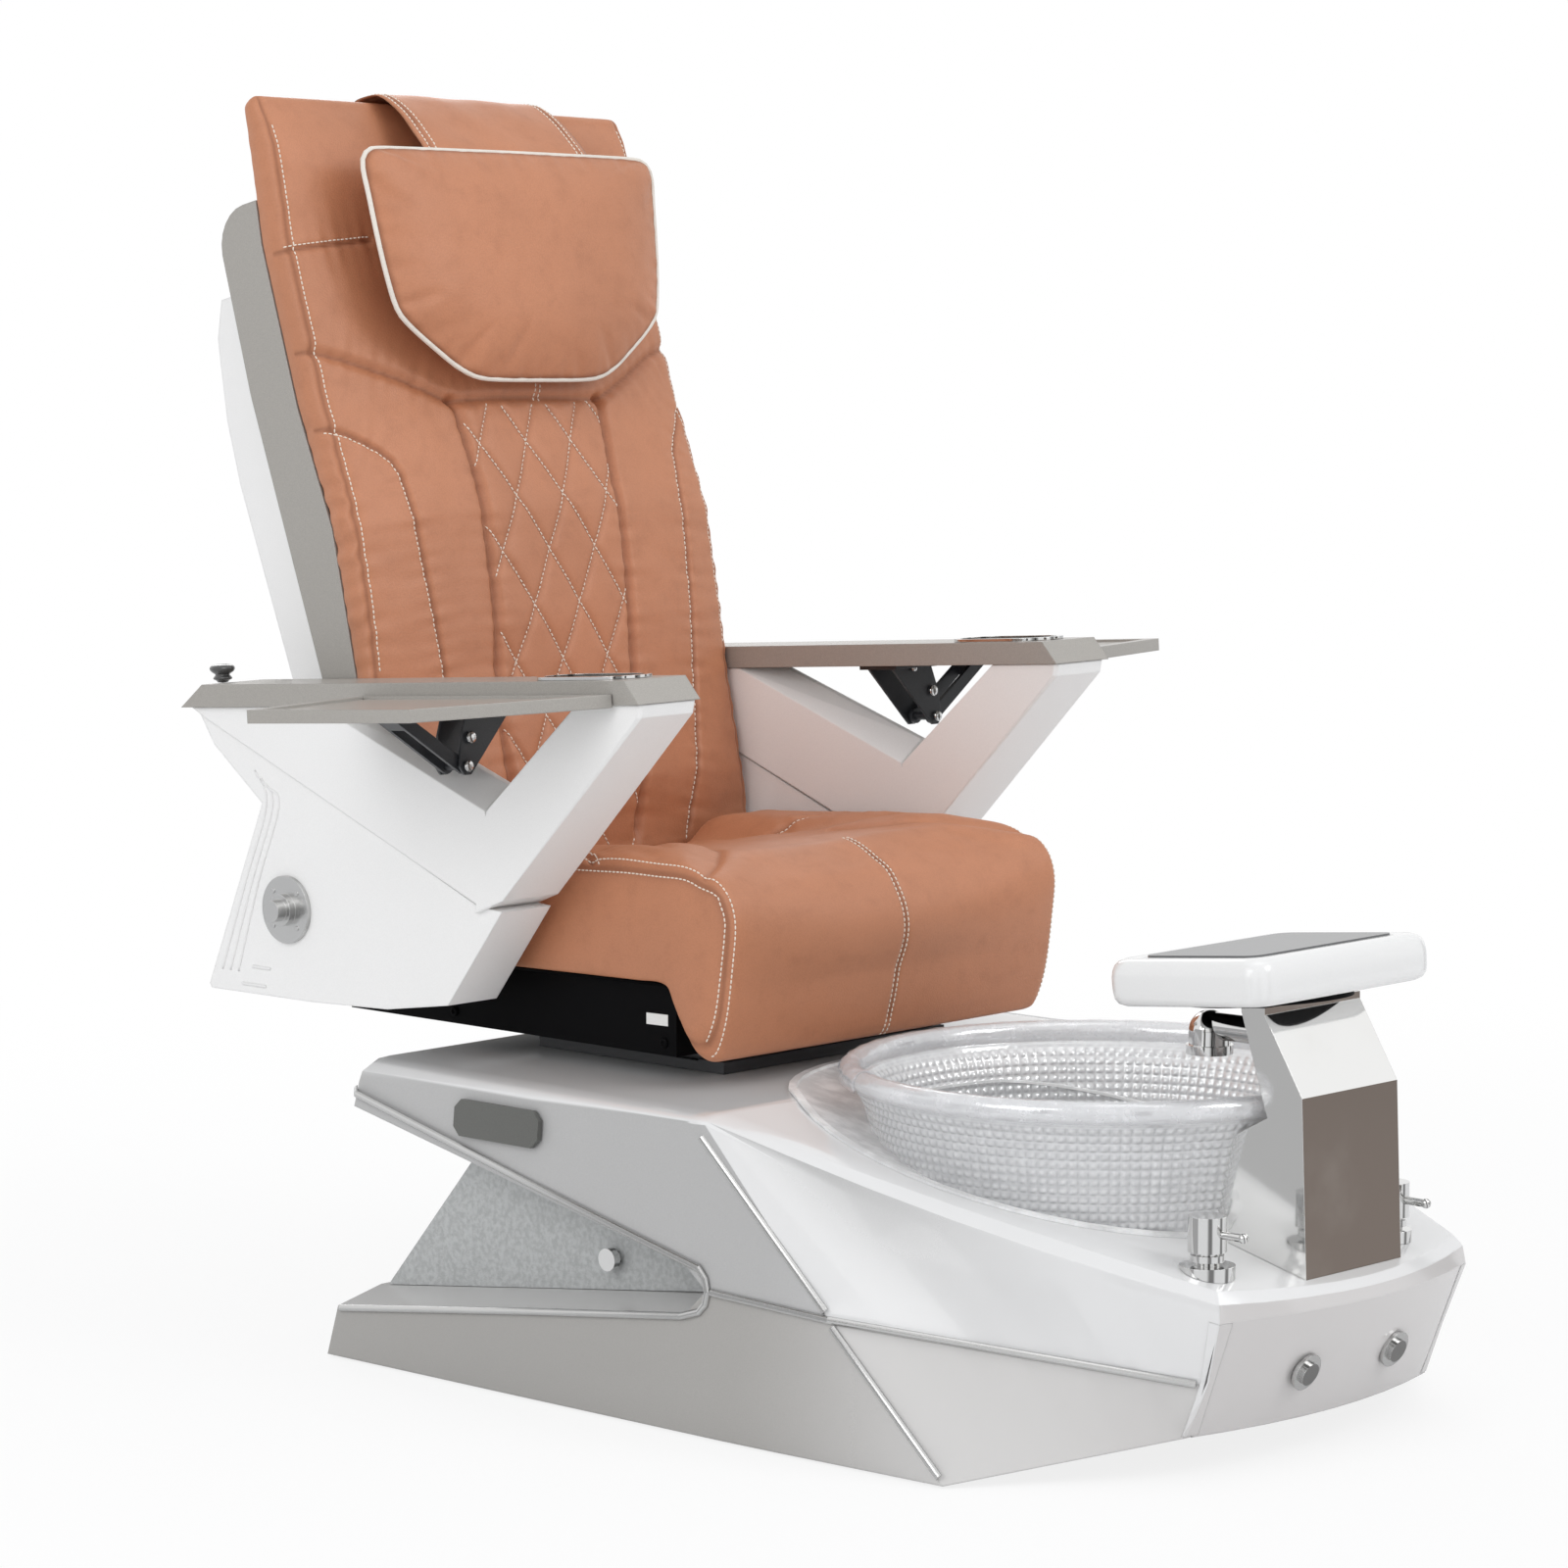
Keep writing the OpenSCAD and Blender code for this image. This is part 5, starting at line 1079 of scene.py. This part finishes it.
def make_bowl():
    """Pressed-glass bowl: rolled rim, hobnail rows outside and in, plain floor."""
    neck = BOWL_R - 12
    wall = rounded([(neck, BOWL_TOP - 24), (neck - 14, BOWL_TOP - 48), (neck - 24, BOWL_TOP - 86),
                    (neck - 38, BOWL_TOP - 152), (neck - 50, BOWL_FLOOR + 14), (neck - 66, BOWL_FLOOR - 8)], 100)
    columns = HOBNAILS * 6
    angle = np.arange(columns) * 2 * math.pi / columns
    nub = np.abs(np.cos(angle * HOBNAILS / 2)) ** 1.5
    rows, painted_hobnail_shade = [], []

    def ring(radius, z, bump=0.0, depth=0):
        """One ring; with a bump it carries the hobnails at its depth below the rim."""
        row = abs(math.sin(depth * math.pi / HOBNAIL_PITCH)) ** 1.3 * smooth(depth, 26, 32) if bump else 0.0
        r = radius + bump * nub * row
        phase = ((BOWL_TOP - z) / HOBNAIL_PITCH) % 1
        # painted shade: a darker crescent below each hobnail and darker lines between hobnails, carried in the mark
        crescent_shade = row**0.4 * nub**0.5 * math.exp(-((phase - 0.8) / 0.11) ** 2)
        between = row * (1 - nub) ** 2 * 0.55 + 0.3 * smooth(row, 0.01, 0.3) * (1 - smooth(row, 0.3, 0.7))
        painted_hobnail_shade.append(np.maximum(between, crescent_shade))
        rows.append(np.stack([BOWL[0] + r * np.cos(angle), BOWL[1] + r * np.sin(angle), np.full(columns, z)], axis=1))

    for a in np.linspace(-60, 240, 14):
        a = math.radians(a)
        ring(neck + 2 + ROLL_R * math.cos(a), BOWL_TOP - ROLL_R + ROLL_R * math.sin(a))
    for r, z in wall:
        ring(r - 8, max(z, BOWL_FLOOR), -2.2, BOWL_TOP - z)
    for r in (neck - 86, 150, 80, 30):
        ring(r, BOWL_FLOOR)
    for r in (30, 80, 150, neck - 78):
        ring(r, BOWL_FLOOR - 8)
    for r, z in wall[::-1]:
        ring(r, z, 2.6, BOWL_TOP - z)
    faces = grid(len(rows), columns, wrap_cols=True, wrap_rows=True)
    bowl = piece("bowl_glass", np.vstack(rows) * MM, faces, GLASS, "base", marks=np.concatenate(painted_hobnail_shade))
    weld(bowl)
    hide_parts("bowl")


def rim_point(a, g, r, shift=0.0):
    """A point on the rolled rim: a round the bowl, g round the roll, r from the roll's middle."""
    reach = BOWL_R - 10 + r * math.cos(g)
    return BOWL[0] + reach * math.cos(a), BOWL[1] + reach * math.sin(a), BOWL_TOP - ROLL_R + r * math.sin(g) + shift


def make_rim():
    """Clear liner tube round the rolled rim, slightly wrinkled."""
    rows, cols = 300, 20
    points = []
    for k in range(rows):
        for j in range(cols):
            r = ROLL_R + 1.0 + 0.5 * math.sin(k * 0.83 + 2 * math.sin(j)) * math.sin(j * 0.9 + k * 0.11)
            x, y, z = rim_point(2 * math.pi * k / rows, 2 * math.pi * j / cols, r)
            points.append((x, y, min(z, BOWL_TOP + 1.5)))
    piece("bowl_rim_liner", np.array(points) * MM, grid(rows, cols, wrap_cols=True, wrap_rows=True), FILM, "base")


def make_film():
    """Clear protective film folded over the bowl's rear rim."""
    points, rows, cols = [], 26, 18
    for k, a in enumerate(np.linspace(math.radians(128), math.radians(152), rows)):
        for j, g in enumerate(np.linspace(-20, 200, cols)):
            r = ROLL_R + 1.2 + 0.6 * math.sin(k * 0.9) * math.sin(j * 0.8)
            points.append(rim_point(a, math.radians(g), r, -14 if g > 185 else -6 if g < -10 else 0))
    film = piece("rim_film", np.array(points) * MM, grid(rows, cols), FILM, "base")
    film.modifiers.new("thick", "SOLIDIFY").thickness = 0.0006
    bake_modifiers(film)


make_bowl()
make_rim()
make_film()


# ---- Small fittings ---------------------------------------------------------------------------

ARM_SLOPE = math.radians(3.9)
CIRCLE = [k * math.pi / 12 for k in range(24)]


def slab(outline, depth, frame_of, bevel=0.8):
    """Points and faces of a thin plate with rounded rim; frame_of places local (a, b, out)."""
    outline = np.array(outline, float)
    way = outline - outline.mean(axis=0)
    way = way / np.linalg.norm(way, axis=1)[:, None]
    rows = []
    for inset, out in ((0, 0), (0, depth - bevel), (bevel * 0.5, depth - bevel * 0.2), (bevel * 1.4, depth)):
        rows.append(np.column_stack([outline - way * inset, np.full(len(outline), out)]))
    return [frame_of(*p) for p in np.vstack(rows)], capped(len(rows), len(outline))


def pill(length, width, steps=8):
    """Outline of a rounded bar lying along the first axis."""
    r = width / 2
    return [(s * (length / 2 - r + r * math.cos(a)), s * r * math.sin(a))
            for s in (1, -1) for a in np.linspace(-math.pi / 2, math.pi / 2, steps)]


def bolt_head(x, y, z, side, radius, tall):
    """A hexagon-socket screw head: dome with a sunk hexagon, axis along X."""
    rows = [[(r * math.cos(a), r * math.sin(a), out) for a in CIRCLE]
            for r, out in ((radius, 0), (radius, tall * 0.55), (radius * 0.86, tall * 0.9), (radius * 0.6, tall),
                           (radius * 0.5, tall))]
    socket = [(a, radius * 0.42 / max(math.cos(a % (math.pi / 3) - math.pi / 6), 0.5)) for a in CIRCLE]
    rows += [[(r * math.cos(a), r * math.sin(a), out) for a, r in socket] for out in (tall, tall * 0.4)]
    return [(x + side * out, y + a, z + b) for row in rows for a, b, out in row], capped(len(rows), len(CIRCLE))


def arm_details(side, name):
    """Moulded slots and steps on the leg."""
    leg_face = 388.0
    parts = []
    for y, z, wide in ((716, 438, 34), (730, 416, 44)):
        parts.append(slab(pill(wide, 4.2), 1.4, lambda a, b, o: (side * (leg_face - 0.4 + o), y + a, z + b)))
    for shift in (0, 11, 22):
        line = rounded([(724 - shift, 672 - shift * 0.8), (704 - shift, 634), (742 - shift, 540),
                        (786 - shift * 1.3, 430)], 40)
        parts.append(tube(np.column_stack([np.full(len(line), side * (leg_face + 0.1)), line]), 1.5, 8))
    points, faces = gather(parts)
    piece("leg_mouldings_" + name, points * MM, faces, WHITE, "arm_" + name)


def label():
    outline = [(-17, -6.5), (17, -6.5), (17, 6.5), (-17, 6.5)]
    points, faces = slab(outline, 0.5, lambda a, b, o: (-260.1 - o, 187 + a, 418 + b - a * 0.02), 0.2)
    piece("frame_label", np.array(points) * MM, faces, LABEL, "seat", smooth=False)


def frame_ledge():
    """Folded top edge of the seat frame's side plates, with its two screws."""
    parts = []
    for side in (-1, 1):
        parts.append(tube([(side * 261.2, y, seat_under(y) - 4) for y in (160, 350, 545)], 2.4, 10))
        parts += [bolt_head(side * 260.0, y, 392, side, 6, 3) for y in (176, 520)]
    points, faces = gather(parts)
    piece("frame_ledge", points * MM, faces, BLACK, "seat")


def on_arm(side, points, middle, y, z):
    """Points turned by the slope of the arm and set at that place on its side."""
    a, b, out = np.array(points, float).T
    c, s = math.cos(ARM_SLOPE), math.sin(ARM_SLOPE)
    return np.stack([side * middle + a, y + b * c + out * s, z - b * s + out * c], axis=1) * MM


def tray_bolts(side, name):
    """Screw heads on the tray's brace and lugs."""
    parts = []
    for x, z, radius in ((0, 0, 6.5), (-6, 32, 7.0), (-40, 62, 4.5)):
        rings = ((radius, 0), (radius, 1.6), (radius * 0.8, 3.0), (radius * 0.35, 3.4))
        parts.append(([(side * (x + r * math.cos(a)), -23.5 - out, z + r * math.sin(a)) for r, out in rings
                       for a in CIRCLE], capped(4, len(CIRCLE))))
    points, faces = gather(parts)
    piece("tray_bolts_" + name, on_arm(side, points, 400.0, 370.0, 704.0), faces, CHROME, "arm_" + name)


def turn_knob(side, name):
    """Oval turned knob: skirt, waist and domed cap."""
    sides = 40
    profile = ((7, 7, -1), (7, 7, 2.5), (13, 10, 3), (13.5, 10.5, 5.5), (9.5, 8, 8), (9, 7.5, 9.5), (16, 11, 12),
               (18.4, 12, 15), (18.8, 12.2, 17), (17.5, 11.3, 19.2), (13.5, 8.8, 20.8), (7, 4.6, 21.6), (1, 0.7, 21.8))
    points = [(b * math.cos(t), a * math.sin(t), 27 + z) for a, b, z in profile
              for t in [2 * math.pi * k / sides for k in range(sides)]]
    place = on_arm(side, points, 353.5, 818, 792 - 743 * math.tan(ARM_SLOPE))
    knob = piece("turn_knob_" + name, place, capped(len(profile), sides), KNOB, "arm_knob_" + name)
    subdivide(knob, 1)
    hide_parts("arm_knob_" + name)


for side, name in ((-1, "right"), (1, "left")):
    turn_knob(side, name)
    arm_details(side, name)
    tray_bolts(side, name)
label()
frame_ledge()


# ---- Studio -----------------------------------------------------------------------------------

floor = piece("floor", [(-40, -40, 0), (40, -40, 0), (40, 40, 0), (-40, 40, 0)], [(0, 1, 2, 3)], LABEL, None)
ground = Finish("studio_floor", Base_Color=(0.86, 0.86, 0.86), Roughness=0.9, Specular_IOR_Level=0.1)
ray = ground.node("ShaderNodeLightPath", out="Is Camera Ray")
glow = ground.node("ShaderNodeEmission", {}, {"Color": (1, 1, 1, 1), "Strength": 1.0})
far = ground.node("ShaderNodeVectorMath", {"operation": "LENGTH"}, {0: ground.place}, out="Value").step(1.0, 3.2)
plain = Value(ground, ground.surface.outputs[0])
blend_out = ground.node("ShaderNodeMixShader", {}, {0: ray * (0.84 + far * 0.16), 1: plain, 2: glow})
ground.tree.links.new(blend_out.socket, ground.tree.nodes["Material Output"].inputs["Surface"])
floor.data.materials[0] = ground.material

world = bpy.data.worlds.new("studio")
scene.world = world
world.use_nodes = True
nodes, links = world.node_tree.nodes, world.node_tree.links
seen, lit = nodes["Background"], nodes.new("ShaderNodeBackground")
for back, colour, strength in ((seen, (1, 1, 1, 1), 1.0), (lit, (0.97, 0.98, 1, 1), 0.74)):
    back.inputs["Color"].default_value = colour
    back.inputs["Strength"].default_value = strength
paths, pick = nodes.new("ShaderNodeLightPath"), nodes.new("ShaderNodeMixShader")
join, second = nodes.new("ShaderNodeMath"), nodes.new("ShaderNodeMath")
for adder in (join, second):
    adder.operation, adder.use_clamp = "ADD", True
for source, target in ((paths.outputs["Is Camera Ray"], join.inputs[0]),
                       (paths.outputs["Is Glossy Ray"], join.inputs[1]), (join.outputs[0], second.inputs[0]),
                       (paths.outputs["Is Transmission Ray"], second.inputs[1]),
                       (second.outputs[0], pick.inputs[0]), (lit.outputs[0], pick.inputs[1]),
                       (seen.outputs[0], pick.inputs[2]),
                       (pick.outputs[0], nodes["World Output"].inputs["Surface"])):
    links.new(source, target)

# grey cards that only polished surfaces see, so that they show bands as in a studio
for name, place, width, height, tone in (
        ("card_side", (-0.82, 0.08, 0), 0.85, 0.55, (0.47, 0.47, 0.475)),
        ("card_a", (-1.75, -0.75, 0), 0.30, 1.1, (0.10, 0.095, 0.09)),
        ("card_b", (-1.05, -1.75, 0), 0.22, 1.2, (0.05, 0.045, 0.04)),
        ("card_c", (0.35, -1.95, 0), 0.40, 1.1, (0.14, 0.12, 0.105)),
        ("card_d", (1.75, -0.95, 0), 0.45, 1.1, (0.12, 0.11, 0.10)),
        ("card_e", (0.95, 1.9, 0), 0.7, 1.3, (0.30, 0.30, 0.30))):
    half = width / 2
    card = piece(name, [(-half, 0, 0), (half, 0, 0), (half, 0, height), (-half, 0, height)], [(0, 1, 2, 3)],
                 LABEL, None)
    card.location = place
    card.rotation_euler = (0, 0, math.atan2(place[1], place[0]) + math.pi / 2)
    paint = Finish(name, Base_Color=(0, 0, 0), Specular_IOR_Level=0.0, Emission_Color=tone, Emission_Strength=1.0)
    card.data.materials[0] = paint.material
    card.visible_camera = card.visible_diffuse = card.visible_transmission = card.visible_shadow = False

for name, place, aim, size, power in (
        ("key", (1.4, -3.8, 3.4), (0, 0, 0.7), 2.2, 52), ("fill", (-4.4, -0.4, 2.6), (0, 0, 0.7), 2.8, 56),
        ("top", (0.3, -0.7, 3.4), (0, 0.1, 0.6), 1.6, 8), ("rear", (1.8, 3.4, 2.6), (0, 0.4, 0.8), 2.0, 30)):
    light = bpy.data.lights.new(name, "AREA")
    light.energy, light.size = power, size
    lamp = bpy.data.objects.new(name, light)
    scene.collection.objects.link(lamp)
    lamp.location = place
    lamp.rotation_euler = (Vector(aim) - Vector(place)).to_track_quat("-Z", "Y").to_euler()

scene.view_settings.view_transform = "Standard"
